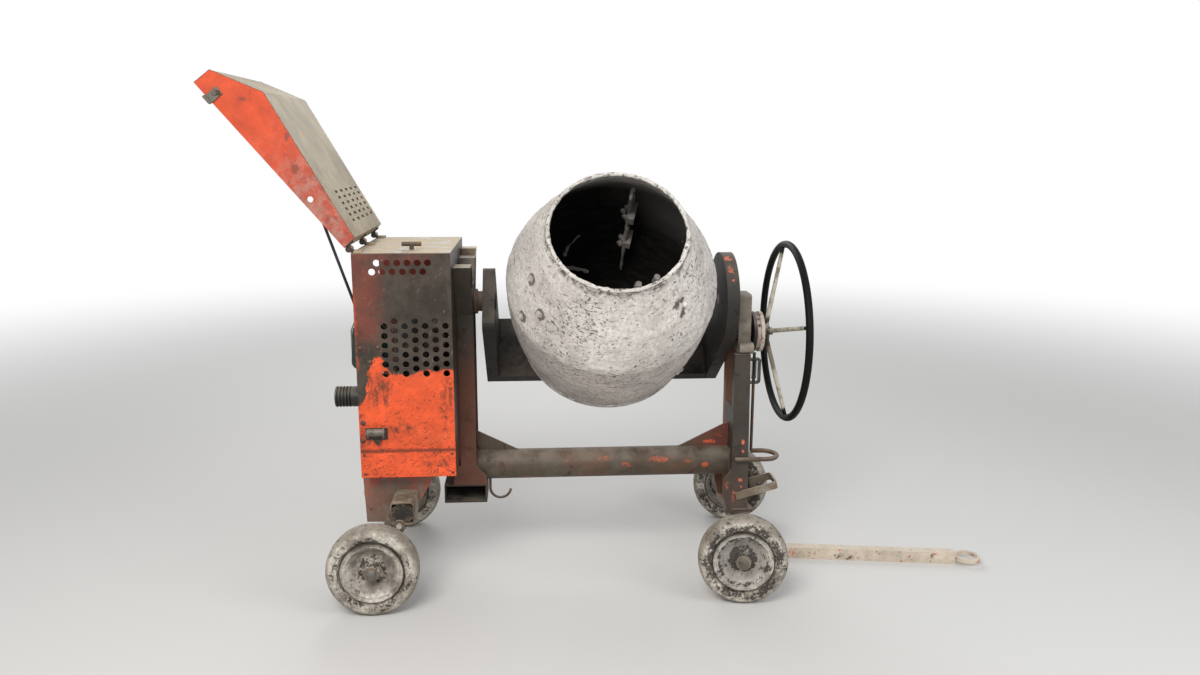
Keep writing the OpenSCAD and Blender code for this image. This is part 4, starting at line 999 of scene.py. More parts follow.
blade_crust = crusted("blade_crust", scale=16, bare=0.34, flecks=0.3, pale=(0.6, 0.56, 0.52),
                      grey=(0.3, 0.275, 0.25), dark=(0.04, 0.034, 0.028))
stud_paint = worn_paint("stud_paint", (0.1, 0.045, 0.03), (0.03, 0.018, 0.014), grey_dust, flakes=0.3,
                        flake_size=40, edges=0.5, dusty=0.3, dirt=0.3)
spring_steel = worn_paint("spring_steel", (0.014, 0.012, 0.01), (0.06, 0.035, 0.02), grey_dust, flakes=0.2,
                          flake_size=40, edges=0.2, dusty=0.3, dirt=0.2, rough=(0.4, 0.7))
cowl_paint = worn_paint("cowl_paint", (0.02, 0.019, 0.018), (0.06, 0.04, 0.03), grey_dust, flakes=0.2,
                        edges=0.4, dusty=0.4, dirt=0.3)
stub_crust = crusted("stub_crust", scale=26, bare=0.4, flecks=0.5, pale=(0.22, 0.205, 0.19),
                     grey=(0.12, 0.108, 0.096))
bolt_crust = crusted("bolt_crust", scale=20, bare=0.28, flecks=0.4, pale=(0.6, 0.555, 0.51),
                     grey=(0.4, 0.36, 0.32))

# %% [markdown]
# The tyres are caked too. A wheel's crust is told by how far a point is from the axle: the dark groove
# between tyre and rim, the broken ring of black rubber beside it, the greasy hub. Each point of a wheel's
# mesh keeps that distance, so the pattern turns with the wheel.

# %% Crust of the wheels
wheel_crust, shader = new_finish("wheel_crust", specular=0.25)
polar = output("Vector", "Attribute", attribute_name="polar")
reach = parts_of(polar)["X"]
front = ramp(parts_of()["X"], 0.6, 0.7)
ragged = (noise_of(34, 7, 0.7) - 0.5) * 0.016 + reach


def ring(low, high, soft=0.003, where=ragged):
    return ramp(where, low - soft, low + soft) * ramp(where, high + soft, high - soft)


cloud = noise_of(11, 8, 0.66)
tone = mixed(ramp(cloud, 0.34, 0.64), (0.2, 0.172, 0.14), (0.6, 0.555, 0.48))
grain = noise_of(85, 5, 0.72)
tone = tinted(tone, mixed(ramp(grain, 0.3, 0.68), (0.62, 0.62, 0.62), (1.22, 1.21, 1.2)))
shoulder = ring(0.15, 0.2, 0.006)
tone = mixed(shoulder * 0.55, tone, (0.22, 0.185, 0.145))
dish = ring(0.03, 0.104)
tone = mixed(dish * (front * 0.45 + 0.1), tone, (0.5, 0.475, 0.445))
# Painted shade: the deep part of the dish is tinted darker.
deep = ring(0.044, 0.08, 0.012)
tone = mixed(deep * 0.5, tone, tinted(tone, (0.45, 0.43, 0.42)))
broken = noise_of(95, 6, 0.72) * 0.45 + noise_of(26, 9, 0.76) * 0.55
loss_and_dish_shade = ring(0.116, 0.142, 0.01) * (front * 0.02 + 0.06)
loss_and_dish_shade = loss_and_dish_shade + ring(-0.1, 0.052, 0.008) * (front * 0.02 + 0.095)
# Painted shade: extra dark patches on the steep edge of the dish.
loss_and_dish_shade = loss_and_dish_shade + ring(0.083, 0.094) * (front * 0.05 + 0.02)
loss_and_dish_shade = loss_and_dish_shade + front * 0.026
bare = ramp(broken + loss_and_dish_shade, 0.575, 0.605)
groove = ring(0.1085, 0.1145, 0.0012, where=(ragged - reach) * 0.12 + reach)
fine = use(specks, Scale=105, Amount=0.42)["Mask"]
dark = either(bare * 0.88, groove * 0.9, fine * 0.7)
colour = mixed(dark, tone, (0.034, 0.028, 0.023))
relief = grain * 0.4 + cloud * 0.6
surface(shader, colour, 0.9, relief - dark * 0.4, 0.005)

# %% [markdown]
# Each solid now takes its finish. A table from finish to solids keeps it easy to see that none is left out.

# %% Every solid gets its finish
drum_solids = ["drum_cone", "drum_shell", "drum_floor", "drum_rim"]
finishes = {
    housing_paint: ["skirt", "front_panel", "back_panel"],
    hood_paint: ["hood"],
    side_paint: ["side_panel"],
    post_paint: ["left_post"],
    dusty_top: ["top_panel", "drive_cover"],
    tube_paint: ["main_tube"],
    bracket_paint: ["rear_bracket"],
    axle_paint: ["rear_axle", "front_axle", "bar_clip"],
    hinge_steel: ["hood_hinges", "hood_catch"],
    pocket_paint: ["fork_pocket"],
    rusty_steel: ["top_handle", "lock_pedal", "trunnion_left", "drum_spindle", "silencer",
                  "tube_hook"],
    stand_paint: ["stand_legs", "king_plate"],
    yoke_paint: ["yoke"],
    wheel_paint: ["handwheel"],
    black_paint: ["prop_rod"],
    green_paint: ["fuel_tank"],
    black_plastic: ["air_cleaner"],
    bar_paint: ["drawbar", "tow_eye"],
    oily_iron: ["engine", "flywheel", "lock_bolt", "tilt_gear", "pinion", "yoke_drive"],
    grey_steel: ["stand_head", "trunnion_right"],
    latch_steel: ["hood_latch"],
    disc_paint: ["lock_disc"],
    drum_crust: drum_solids,
    blade_crust: ["paddles"],
    wheel_crust: [n for n in frame["nodes"] if n.startswith(("tyre_", "rim_"))],
}
for material, names in finishes.items():
    for name in names:
        mesh = frame["nodes"][name].data
        mesh.materials.clear()
        mesh.materials.append(material)
given_a_finish = {n for names in finishes.values() for n in names}
print("without a finish:", sorted(set(frame["nodes"]) - given_a_finish))

# %% [markdown]
# The solids carry the main shapes. What follows are the forms that are too fine for them: cast lumps of
# cement, bolts, welds, a spring, ribs. Each starts from a bmesh operator or a bar along a line, and each is
# placed by the same few points that the real machine is measured from.

# %% Tools for new pieces


def axes_at(spot, direction, sideways=(1, 0, 0)):
    """A matrix that stands at spot, its Z along direction and its X as near to sideways as it can be."""
    up = Vector(direction).normalized()
    side = Vector(sideways) - up * Vector(sideways).dot(up)
    if side.length < 1e-4:
        side = up.orthogonal()
    side.normalize()
    return Matrix.Translation(spot) @ Matrix((side, up.cross(side), up)).transposed().to_4x4()


def closed(bm):
    """Closes a bmesh's seams and turns its faces outwards."""
    bmesh.ops.remove_doubles(bm, verts=bm.verts, dist=2e-5)
    bmesh.ops.recalc_face_normals(bm, faces=bm.faces)


def finished(name, bm, materials, body, replaced=(), crease=35):
    """Turns a bmesh into a piece of the machine and lets it ride on its body."""
    closed(bm)
    mesh = bpy.data.meshes.new(name)
    bm.to_mesh(mesh)
    bm.free()
    for material in materials:
        mesh.materials.append(material)
    mesh.shade_smooth()
    mesh.set_sharp_from_angle(angle=math.radians(crease))
    piece = bpy.data.objects.new(name, mesh)
    scene.collection.objects.link(piece)
    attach(piece, body)
    if replaced:
        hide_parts(*replaced)
    print(name, "rides on", body, "with", len(mesh.polygons), "faces")
    return piece

# %% [markdown]
# A drum, a wheel and a knob are round, so each is an outline spun about an axis. Their outlines are drawn
# with few points: one helper adds points between them, for the noise to move, and one cuts corners to soft
# bends. The crust itself is noise along the normals, with pits where the noise is high.

# %% Spinning and roughening


def lathe(bm, rows, stand, steps):
    """Spins rows of (height, radius) about the Z axis of the matrix stand."""
    line = [bm.verts.new(stand @ Vector((radius, 0, height))) for height, radius in rows]
    edges = [bm.edges.new(pair) for pair in zip(line, line[1:])]
    axis = stand.to_3x3() @ Vector((0, 0, 1))
    bmesh.ops.spin(bm, geom=line + edges, cent=stand.translation, axis=axis, angle=math.tau, steps=steps,
                   use_merge=True)


def spaced(rows, gap):
    """The same line of (height, radius), with points no further apart than gap."""
    made = [rows[0]]
    for (s0, r0), (s1, r1) in zip(rows, rows[1:]):
        count = max(1, math.ceil(math.hypot(s1 - s0, r1 - r0) / gap))
        made += [(s0 + (s1 - s0) * k / count, r0 + (r1 - r0) * k / count) for k in range(1, count + 1)]
    return made


def eased(rows, rounds=2):
    """Cuts the corners of an open line, so that it bends softly. Its ends stay."""
    for _ in range(rounds):
        cut = [rows[0]]
        for a, b in zip(rows, rows[1:]):
            cut += [tuple(p * near + q * (1 - near) for p, q in zip(a, b)) for near in (0.75, 0.25)]
        rows = cut + [rows[-1]]
    return rows


def roughened(bm, size, scale, pits=0.0, along=None):
    """Moves every vertex by noise along its normal, as a crust does. along(point) scales it by place."""
    bm.normal_update()
    moves = []
    for vert in bm.verts:
        spot = (vert.co - datum) * scale
        lump = noise.turbulence(spot, 4, False) - 0.45
        hole = max(0.0, noise.noise(spot * 2.3 + Vector((9, 3, 5))) - 0.25) * pits
        moves.append(vert.normal * (size * lump - hole) * (along(vert.co) if along else 1.0))
    for vert, move in zip(bm.verts, moves):
        vert.co += move

# %% [markdown]
# The drum is one skin, outside and inside, from its floor to its rolled rim. The cone laps over the shell
# at the seam, which gives the sharp line round its belly. Cement has built up on all of it, and thickest at
# the rim.

# %% Drum
outer_rows = eased([(-0.336, 0), (-0.336, 0.22), (-0.335, 0.268), (-0.318, 0.290), (-0.25, 0.3325),
                    (-0.14, 0.359), (-0.03, 0.3785), (0.06, 0.3855), (0.139, 0.3848)])
lap_row = (0.1395, 0.3882)
cone_rows = eased([(0.146, 0.3884), (0.165, 0.3878), (0.215, 0.373), (0.28, 0.3435), (0.36, 0.2975),
                   (0.448, 0.2452)])
rolled = 0.0085
rim_turns = [math.radians(degrees) for degrees in range(-45, 226, 15)]
rim_rows = [(0.458 + rolled * math.sin(turn), 0.239 + rolled * math.cos(turn)) for turn in rim_turns]
inner_rows = eased([(0.446, 0.2352), (0.36, 0.2865), (0.28, 0.334), (0.2, 0.371), (0.146, 0.378),
                    (0.06, 0.3795), (-0.06, 0.369), (-0.25, 0.326), (-0.318, 0.282), (-0.331, 0.262),
                    (-0.331, 0)])
bm = bmesh.new()
skin_rows = spaced([*outer_rows, lap_row, *cone_rows, *rim_rows], 0.0085) + spaced(inner_rows, 0.022)
lathe(bm, skin_rows, drum_stand, 288)
closed(bm)
to_drum = drum_stand.inverted()


def crust_on_drum(spot):
    height = (to_drum @ spot).z
    return 1.0 + 0.35 * max(0.0, min(1.0, (height - 0.40) / 0.05))


roughened(bm, 0.0022, 34.0, pits=0.0035, along=crust_on_drum)
for face in bm.faces:
    local = to_drum @ face.calc_center_median()
    inwards = (to_drum.to_3x3() @ face.normal).xy.dot(local.xy) < 0
    face.material_index = 1 if inwards and local.z < 0.449 else 0
finished("drum_skin", bm, [drum_crust, drum_inside_painted_light], "drum", drum_solids, crease=60)

# %% [markdown]
# Pipes, wires, cords of weld and ridges of cement are all bars along a line. Bolts are short cones on one
# another: washer, head, chamfer and stud. A seeded die makes the welder's unsteady hand, so every run gives
# the same beads.

# %% Bars, welds and bolts


def bars(name, runs, material, body, roundness=3):
    """Round bars along lines, in one piece. A run is (points, radius or radii), with True if closed."""
    curve = bpy.data.curves.new(name, "CURVE")
    curve.dimensions = "3D"
    curve.bevel_depth = 1.0
    curve.bevel_resolution = roundness
    curve.use_fill_caps = True
    for points, radius, *loop in runs:
        spline = curve.splines.new("POLY")
        spline.points.add(len(points) - 1)
        spline.use_cyclic_u = bool(loop)
        for index, (knot, spot) in enumerate(zip(spline.points, points)):
            knot.co = (*spot, 1)
            knot.radius = radius[index] if isinstance(radius, list) else radius
    holder = bpy.data.objects.new(name, curve)
    scene.collection.objects.link(holder)
    mesh = bpy.data.meshes.new_from_object(holder)
    bpy.data.objects.remove(holder)
    bm = bmesh.new()
    bm.from_mesh(mesh)
    bpy.data.meshes.remove(mesh)
    return finished(name, bm, [material], body)


dice = random.Random(7)


def bead(size, count):
    """Radii of a weld bead, whose ripples and blobs come from the welder's unsteady hand."""
    return [size * (0.86 + 0.2 * (k % 2) + dice.uniform(-0.1, 0.14)) for k in range(count)]


def weld(start, end, size=0.004, step=0.004):
    """A run for bars(): a straight weld."""
    count = max(3, int((end - start).length / step))
    points = [start.lerp(end, k / count) + Vector([dice.uniform(-1, 1) * size * 0.12 for _ in range(3)])
              for k in range(count + 1)]
    return points, bead(size, count + 1)


def round_weld(stand, radius, size=0.004, step=0.005):
    """A run for bars(): a weld round the Z axis of the matrix stand."""
    count = int(math.tau * radius / step)
    turns = [k * math.tau / count for k in range(count)]
    spots = [stand @ Vector((radius * math.cos(turn), radius * math.sin(turn), 0)) for turn in turns]
    return spots, bead(size, count), True


def peg(bm, stand, foot, top, depth, segments=20, lift=0.0):
    """A closed cone about the Z axis of the matrix stand, with its radii at the foot and at the top."""
    bmesh.ops.create_cone(bm, cap_ends=True, segments=segments, radius1=foot, radius2=top, depth=depth,
                          matrix=stand @ Matrix.Translation((0, 0, lift)))


def bolt(bm, spot, out, wide=0.017, tall=0.008, washer=True, stud=0.0):
    """A hexagon head, `wide` across its flats, on a washer, with a stud's end through it if asked."""
    stand = axes_at(spot, out) @ Matrix.Rotation(dice.uniform(0, 1), 4, "Z")
    base = 0.0016 if washer else 0.0
    corner = wide * 0.577
    sides = tall * 0.8
    if washer:
        peg(bm, stand, wide * 0.82, wide * 0.80, base + 0.001, 20, base / 2 - 0.0005)
    peg(bm, stand, corner, corner, sides + 0.001, 6, base + sides / 2 - 0.0005)
    peg(bm, stand, corner, wide * 0.50, tall * 0.2, 6, base + sides + tall * 0.1)
    if stud:
        peg(bm, stand, wide * 0.30, wide * 0.26, stud, 12, base + tall + stud / 2)

# %% [markdown]
# The paddles are bolted through the drum's wall. Outside, their bolt heads show as crusted lumps, and two
# weld seams run round the drum.

# %% Bolts and welds of the drum
bm = bmesh.new()
paddle_turns = (75, -45, -165)
heads = [(height, radius, turn + lean, 0, 0.019, 0.009) for turn in paddle_turns[:2]
         for height, radius in ((0.113, 0.3825), (-0.053, 0.3715)) for lean in (-4.0, -1.6)]
heads += [(*head, 0.12, 0.018, 0.008) for head in lone_heads]
for height, radius, turn, slope, wide, tall in heads:
    spot = on_drum(height, radius, turn)
    bolt(bm, spot, spot - on_drum(height - slope, 0, 0), wide, tall)
roughened(bm, 0.0016, 90.0)
finished("drum_bolts", bm, [bolt_crust], "drum")
rings = [round_weld(drum_stand @ Matrix.Translation((0, 0, height)), radius, size)
         for height, radius, size in ((-0.25, 0.3322, 0.0032), (0.4495, 0.2445, 0.0030))]
bars("drum_welds", rings, drum_crust, "drum", 2)

# %% [markdown]
# Each wheel is a solid tyre on a pressed rim. One outline gives both: hub, dished plate, bead, the groove
# that the tyre sits in, and the tyre's round shoulder. A second, blank side looks inwards.

# %% Wheels
tyre_radius = 0.1622
wheel_rows = [
    (0.040, 0.0155), (0.041, 0.024), (0.039, 0.0290), (0.028, 0.0305), (0.015, 0.033), (0.007, 0.040),
    (0.0035, 0.050), (0.0045, 0.060), (0.0105, 0.070), (0.0195, 0.0790), (0.0285, 0.0860), (0.0345, 0.0910),
    (0.0360, 0.0950), (0.0330, 0.0985), (0.0335, 0.1020), (0.0385, 0.1055), (0.0415, 0.1080),
    (0.0415, 0.1105), (0.0365, 0.1130), (0.0310, 0.1150), (0.0335, 0.1175), (0.0405, 0.1195),
    (0.0445, 0.127), (0.0455, 0.137), (0.0435, 0.147), (0.0375, 0.1555), (0.028, 0.1603),
    (0.014, tyre_radius), (0, 0.1625), (-0.014, tyre_radius), (-0.028, 0.1603), (-0.0375, 0.1555),
    (-0.0435, 0.147), (-0.044, 0.135), (-0.040, 0.1195), (-0.034, 0.1165), (-0.036, 0.1135),
    (-0.0395, 0.111), (-0.039, 0.1075), (-0.030, 0.106), (0.016, 0.1045), (0.0265, 0.0965),
    (0.0235, 0.0885), (0.0150, 0.0815), (0.0055, 0.0720), (-0.0005, 0.0620), (-0.0020, 0.0500),
    (0, 0.0400), (-0.004, 0.0315), (-0.036, 0.0305), (-0.040, 0.0285), (-0.040, 0.0155), (0.040, 0.0155),
]


def wheel(tag):
    """A crusted wheel on its joint. The mesh keeps each point's radius and turn, which its finish reads."""
    spin = joint["spin_" + tag]
    side = -1 if "near" in tag else 1
    stand = axes_at(spin["pos_m"], Vector(spin["axis"]) * side, (0, 0, 1))
    bm = bmesh.new()
    lathe(bm, spaced(wheel_rows, 0.0065), stand, 132)
    closed(bm)
    back = stand.inverted()

    def softer_tread(spot):
        reach = (back @ spot).xy.length
        return 0.25 if reach > 0.155 or reach < 0.032 else 1.0

    roughened(bm, 0.0026, 42.0, pits=0.004, along=softer_tread)
    for vert in bm.verts:
        local = back @ vert.co
        if local.xy.length > tyre_radius:
            local.xy *= tyre_radius / local.xy.length
            vert.co = stand @ local
    piece = finished("wheel_" + tag, bm, [wheel_crust], "wheel_" + tag, ["tyre_" + tag, "rim_" + tag], 50)
    polar = piece.data.attributes.new("polar", "FLOAT_VECTOR", "POINT")
    values = []
    for vert in piece.data.vertices:
        local = back @ vert.co
        turn = math.atan2(local.y, local.x)
        values += [local.xy.length, math.cos(turn), math.sin(turn)]
    polar.data.foreach_set("vector", values)


for end in ("rear", "front"):
    for side in ("near", "far"):
        wheel(f"{end}_{side}")
for end, body in (("rear", "chassis"), ("front", "front_axle")):
    bm = bmesh.new()
    for side, sign in (("near", -1), ("far", 1)):
        spin = joint[f"spin_{end}_{side}"]
        out = Vector(spin["axis"]) * sign
        bolt(bm, Vector(spin["pos_m"]) + out * 0.0455, out, wide=0.034, tall=0.012, washer=False, stud=0.001)
    finished(end + "_axle_nuts", bm, [nut_steel], body)

# %% [markdown]
# Small hardware is what tells a machine's size. The same few helpers place it all: round studs and bolts on
# the housing, the turned grip of its catch, and the bolt that holds the latch to the hood.

# %% The housing's small hardware


def dome(bm, spot, out, wide=0.010, tall=0.004):
    """A round head, as on a rivet."""
    stand = axes_at(spot, out) @ Matrix.Diagonal((wide / 2, wide / 2, tall, 1))
    bmesh.ops.create_uvsphere(bm, u_segments=14, v_segments=8, radius=1.0, matrix=stand)


bm = bmesh.new()
side_face = 0.290
for x, z, wide in ((-0.029, 0.667, 0.020), (-0.032, 0.601, 0.018), (-0.028, 0.936, 0.017),
                   (0.034, 0.937, 0.016), (0.005, 0.885, 0.018)):
    for side in (-1, 1):
        dome(bm, place(x, side_face * side, z), (0, side, 0), wide, 0.005)
for x in (-0.030, 0.279):
    for z in (0.478, 0.548):
        for side in (-1, 1):
            dome(bm, place(x, side_face * side, z), (0, side, 0), 0.010, 0.003)
finished("housing_studs", bm, [stud_paint], "chassis")

bm = bmesh.new()
for z in (1.105, 1.205):
    bolt(bm, place(0.320, 0.208, z), (0, -1, 0), wide=0.012, tall=0.005)
for x, z in ((0.045, 0.636), (-0.012, 0.596)):
    dome(bm, place(x, -0.2965, z), (0, -1, 0), 0.009, 0.0035)
finished("housing_bolts", bm, [nut_steel], "chassis")

bm = bmesh.new()
grip_rows = [(-0.034, 0), (-0.034, 0.0112), (-0.020, 0.0128), (-0.004, 0.0136), (0.016, 0.0128),
             (0.030, 0.0112), (0.030, 0)]
lathe(bm, eased(grip_rows, 1), axes_at(place(0.017, -0.3085, 0.6365), (1, 0, 0)), 24)
for x in (-0.009, 0.043):
    peg(bm, axes_at(place(x, -0.3065, 0.634), (1, 0, 0)), 0.0175, 0.0165, 0.006)
finished("catch_grip", bm, [latch_steel], "chassis")

bm = bmesh.new()
latch_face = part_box("hood_latch")[0].y - datum.y
bolt(bm, place(-0.439, latch_face + 0.0125, 1.791), (0, -1, 0), wide=0.009, tall=0.004)
finished("latch_bolts", bm, [stud_paint], "hood")

# %% [markdown]
# The hood's holes show its felt, not the sky, so a thin sheet lies behind them, along the hood's long top.
# Dark lines of paint follow its folds. A plate closes the far end of the lifting pocket, and a square box
# sleeves each end of the rear beam. The sheets are cubes with rounded edges, the sleeve is a drawn-out ring
# with a thickness.

# %% Lining and folds of the hood, pocket and beam


def block(bm, stand, *size):
    bmesh.ops.create_cube(bm, size=1.0, matrix=stand @ Matrix.Diagonal((*size, 1)))


def rounded(bm, radius):
    bmesh.ops.bevel(bm, geom=bm.edges[:], offset=radius, affect="EDGES", segments=2, profile=0.5, material=-1)


def drawn_out(bm, grown, vec):
    """Moves what an extrusion made."""
    corners = [v for v in grown["geom"] if isinstance(v, bmesh.types.BMVert)]
    bmesh.ops.translate(bm, verts=corners, vec=vec)


def on_hood(reach, side, deep):
    """A point of the open hood: away from its hinge, across it, and down from its top."""
    return place(hinge_spot.x, side, hinge_spot.z) - along_hood * reach - across_hood * deep


def under_top(reach):
    top_slope = 0.1844
    return on_hood(reach, 0, 0.044 + top_slope * (reach - 0.016) - 0.0058)


bm = bmesh.new()
low = under_top(0.030)
high = under_top(0.245)
block(bm, axes_at((low + high) / 2, high - low, (0, 1, 0)), 0.560, 0.003, (high - low).length)
rounded(bm, 0.0008)
finished("hood_lining", bm, [lining_felt], "hood")

fold_line = ((0.0125, -0.005), (0.0162, 0.0436), (0.553, 0.1426), (0.7135, 0.0598), (0.7155, -0.005))
folds = [([on_hood(reach, side, deep) for reach, deep in fold_line], 0.0009) for side in (-0.2896, 0.2896)]
bars("hood_folds", folds, stud_paint, "hood", 1)

bm = bmesh.new()
block(bm, Matrix.Translation(place(0.307, 0.066, 0.314)), 0.1515, 0.004, 0.0615)
rounded(bm, 0.001)
finished("pocket_end", bm, [pocket_paint], "chassis")

bm = bmesh.new()
half, chamfered = 0.041, 0.033
outline = [(half, chamfered), (chamfered, half), (-chamfered, half), (-half, chamfered), (-half, -chamfered),
           (-chamfered, -half), (chamfered, -half), (half, -chamfered)]
for side in (-1, 1):
    corners = [bm.verts.new(place(0.102 + x, 0.2052 * side, 0.345 + z)) for x, z in outline]
    edges = [bm.edges.new(pair) for pair in zip(corners, corners[1:] + corners[:1])]
    drawn_out(bm, bmesh.ops.extrude_edge_only(bm, edges=edges), (0, 0.1395 * side, 0))
bmesh.ops.recalc_face_normals(bm, faces=bm.faces)
bmesh.ops.solidify(bm, geom=bm.faces[:], thickness=0.0035)
finished("axle_boxes", bm, [axle_paint], "chassis", crease=30)

# %% [markdown]
# The lock bolt is pushed home by a spring. A bar along a screw line gives its eight turns.

# %% Spring of the lock bolt
turns = 8
steps = 16
coil_radius = 0.0098
coil_length = 0.0655
coil_foot = (1.4315, 0.7435)
coil = []
for k in range(turns * steps + 1):
    angle = k * math.tau / steps
    coil.append(place(coil_foot[0] + coil_radius * math.cos(angle), coil_radius * math.sin(angle),
                      coil_foot[1] + coil_length * k / (turns * steps)))
bars("lock_spring", [(coil, 0.0017)], spring_steel, "chassis", 2)

# %% [markdown]
# Inside the housing stand the engine, its tank and its air cleaner. Ribs and a knurled cap are turned on
# the lathe helper, straps and fuel lines are bars, and the fan's cowl is one outline drawn out to a box
# with rounded edges.

# %% Air cleaner, tank and engine
bm = bmesh.new()
ribs = [(-0.1362, 0)]
one_rib = ((0, 0.0355), (0.0015, 0.0372), (0.0062, 0.0372), (0.0075, 0.0355), (0.0085, 0.0325),
           (0.0105, 0.0325))
for k in range(5):
    start = -0.1362 + k * 0.0115
    ribs += [(start + step, radius) for step, radius in one_rib]
ribs += [(-0.078, 0.0365), (-0.0535, 0.0365), (-0.0525, 0.033), (-0.0525, 0.024)]
lathe(bm, ribs, axes_at(place(0, -0.196, 0.740), (1, 0, 0)), 48)
finished("cleaner_ribs", bm, [black_plastic], "chassis")

bm = bmesh.new()
cap_rows = [(0, 0.0275), (0.004, 0.0285), (0.0165, 0.0285), (0.0195, 0.026), (0.0205, 0.016), (0.0215, 0)]
lathe(bm, cap_rows, axes_at(place(-0.016, -0.180, 1.016), (0, 0, 1)), 36)
for k in range(12):
    block(bm, Matrix.Translation(place(-0.016, -0.180, 1.026)) @ Matrix.Rotation(k * math.tau / 12, 4, "Z")
          @ Matrix.Translation((0.0285, 0, 0)), 0.003, 0.005, 0.013)
finished("tank_cap", bm, [black_plastic], "chassis")


def line_of(*points):
    return [place(*point) for point in points]


strap = ((-0.0685, 0.860), (-0.0685, 0.985), (-0.055, 1.0165), (-0.02, 1.0185), (0.02, 1.0185),
         (0.045, 1.0165), (0.0590, 0.985), (0.0590, 0.870))
straps = [(line_of(*((x, y, z) for x, z in strap)), 0.0028) for y in (-0.215, -0.145)]
bars("tank_straps", straps, grey_steel, "chassis", 1)
hose = line_of((0, -0.150, 0.853), (0.004, -0.150, 0.830), (0.022, -0.145, 0.806), (0.050, -0.132, 0.792),
               (0.070, -0.112, 0.770), (0.078, -0.104, 0.735), (0.080, -0.101, 0.700))
pipe = line_of((0.095, -0.101, 0.700), (0.098, -0.112, 0.735), (0.108, -0.112, 0.790), (0.118, -0.092, 0.842),
               (0.126, -0.060, 0.862), (0.129, -0.030, 0.872))
dip = line_of((0.200, -0.090, 0.655), (0.204, -0.094, 0.70), (0.206, -0.096, 0.735))
engine_runs = [(eased(hose), 0.0045), (eased(pipe), 0.0032), (dip, 0.0030)]
bars("engine_pipes", engine_runs, black_plastic, "chassis", 2)

bm = bmesh.new()
engine_x = 0.129
for x in (-0.036, 0.036):
    for y in (-0.030, 0.010, 0.050):
        bolt(bm, place(engine_x + x, y, 0.869), (0, 0, 1), wide=0.012, tall=0.006)
for x, z in ((-0.066, 0.50), (0.066, 0.50), (-0.066, 0.62), (0.066, 0.62), (0.0, 0.545), (0.0, 0.648)):
    bolt(bm, place(engine_x + x, -0.100, z), (0, -1, 0), wide=0.013, tall=0.006)
for k in range(5):
    turn = k * math.tau / 5
    spot = place(engine_x + 0.038 * math.cos(turn), 0.190, 0.607 + 0.038 * math.sin(turn))
    bolt(bm, spot, (0, 1, 0), wide=0.013, tall=0.006)
filter_rows = [(0, 0), (0, 0.024), (0.002, 0.027), (0.052, 0.027), (0.056, 0.023), (0.056, 0)]
lathe(bm, filter_rows, axes_at(place(0.205, -0.0995, 0.540), (0, -1, 0)), 32)
finished("engine_hardware", bm, [nut_steel], "chassis")

bm = bmesh.new()
cowl = ((0.036, 0.655), (0.036, 0.925), (0.062, 0.965), (0.200, 0.965), (0.224, 0.925), (0.224, 0.655))
cowl_side = bm.faces.new([bm.verts.new(place(x, 0.104, z)) for x, z in cowl])
drawn_out(bm, bmesh.ops.extrude_face_region(bm, geom=[cowl_side]), (0, 0.040, 0))
rounded(bm, 0.004)
finished("fan_cowl", bm, [cowl_paint], "chassis", crease=30)

# %% [markdown]
# The weld seams: where the pipe meets the support and the stand, along the gussets, round the yoke's
# corners. A bead is never even, so its bars swell and shrink. Most seams come in pairs, one to each side of
# the machine.

# %% Weld seams


def seams_between(point_at, rows):
    """Straight welds from rows of start, end and size."""
    return [weld(point_at(*start), point_at(*end), size) for start, end, size in rows]


def both_sides(start, end, size):
    """One seam and its twin across the machine's centre plane."""
    (x0, y0, z0), (x1, y1, z1) = start, end
    return [((x0, y0 * side, z0), (x1, y1 * side, z1), size) for side in (1, -1)]


seams = [round_weld(axes_at(place(0.3525, 0, 0.407), (1, 0, 0)), 0.0585, 0.0042)]
seams += seams_between(place, [*both_sides((0.352, -0.0055, 0.4625), (0.512, -0.0055, 0.4625), 0.0036),
                               *both_sides((1.135, -0.0055, 0.4625), (1.334, -0.0055, 0.4625), 0.0036),
                               *both_sides((1.3345, -0.0575, 0.362), (1.3345, -0.0575, 0.452), 0.0040)])
bars("frame_welds", seams, tube_paint, "chassis", 1)
seams = seams_between(place, [*both_sides((1.3385, -0.0985, 0.2325), (1.399, -0.0985, 0.2325), 0.0036),
                              ((1.3345, -0.0895, 0.235), (1.3345, -0.0895, 0.392), 0.0034),
                              *both_sides((1.335, -0.0975, 0.8525), (1.393, -0.0975, 0.8525), 0.0036),
                              ((1.352, -0.058, 0.8950), (1.352, 0.058, 0.8950), 0.0036)])
bars("stand_welds", seams, stand_paint, "chassis", 1)

drum_right = Vector((1, 0, 0))
drum_side = drum_axis.cross(drum_right)


def on_yoke(x, side, height):
    """A point of the tilted yoke: along the trunnions, across them, and up towards the drum's mouth."""
    return trunnion + drum_right * x + drum_side * side + drum_axis * height


base = -0.3725
rows = [((-0.4325, y, base), (-0.4325, y * 0.2, base), 0.0038) for y in (-0.118, 0.118)]
rows += [((x, -0.128, base + 0.001), (x, 0.128, base + 0.001), 0.0038) for x in (-0.4315, 0.4195)]
seams = seams_between(on_yoke, rows)
seams.append(round_weld(axes_at(on_yoke(-0.4315, 0, 0), (1, 0, 0)), 0.0340, 0.0032))
bars("yoke_welds", seams, yoke_paint, "yoke", 1)

bm = bmesh.new()
for x in (0.434, -0.440):
    for side in (-0.112, 0.112):
        block(bm, axes_at(on_yoke(x, side, -0.423), drum_axis, (1, 0, 0)), 0.040, 0.034, 0.014)
rounded(bm, 0.003)
finished("yoke_stops", bm, [yoke_paint], "yoke")
bm = bmesh.new()
for k in range(6):
    turn = k * math.tau / 6
    spot = on_yoke(0.062 * math.cos(turn), 0.062 * math.sin(turn), -0.3885)
    bolt(bm, spot, -drum_axis, wide=0.015, tall=0.007)
finished("drive_bolts", bm, [oily_iron], "yoke")

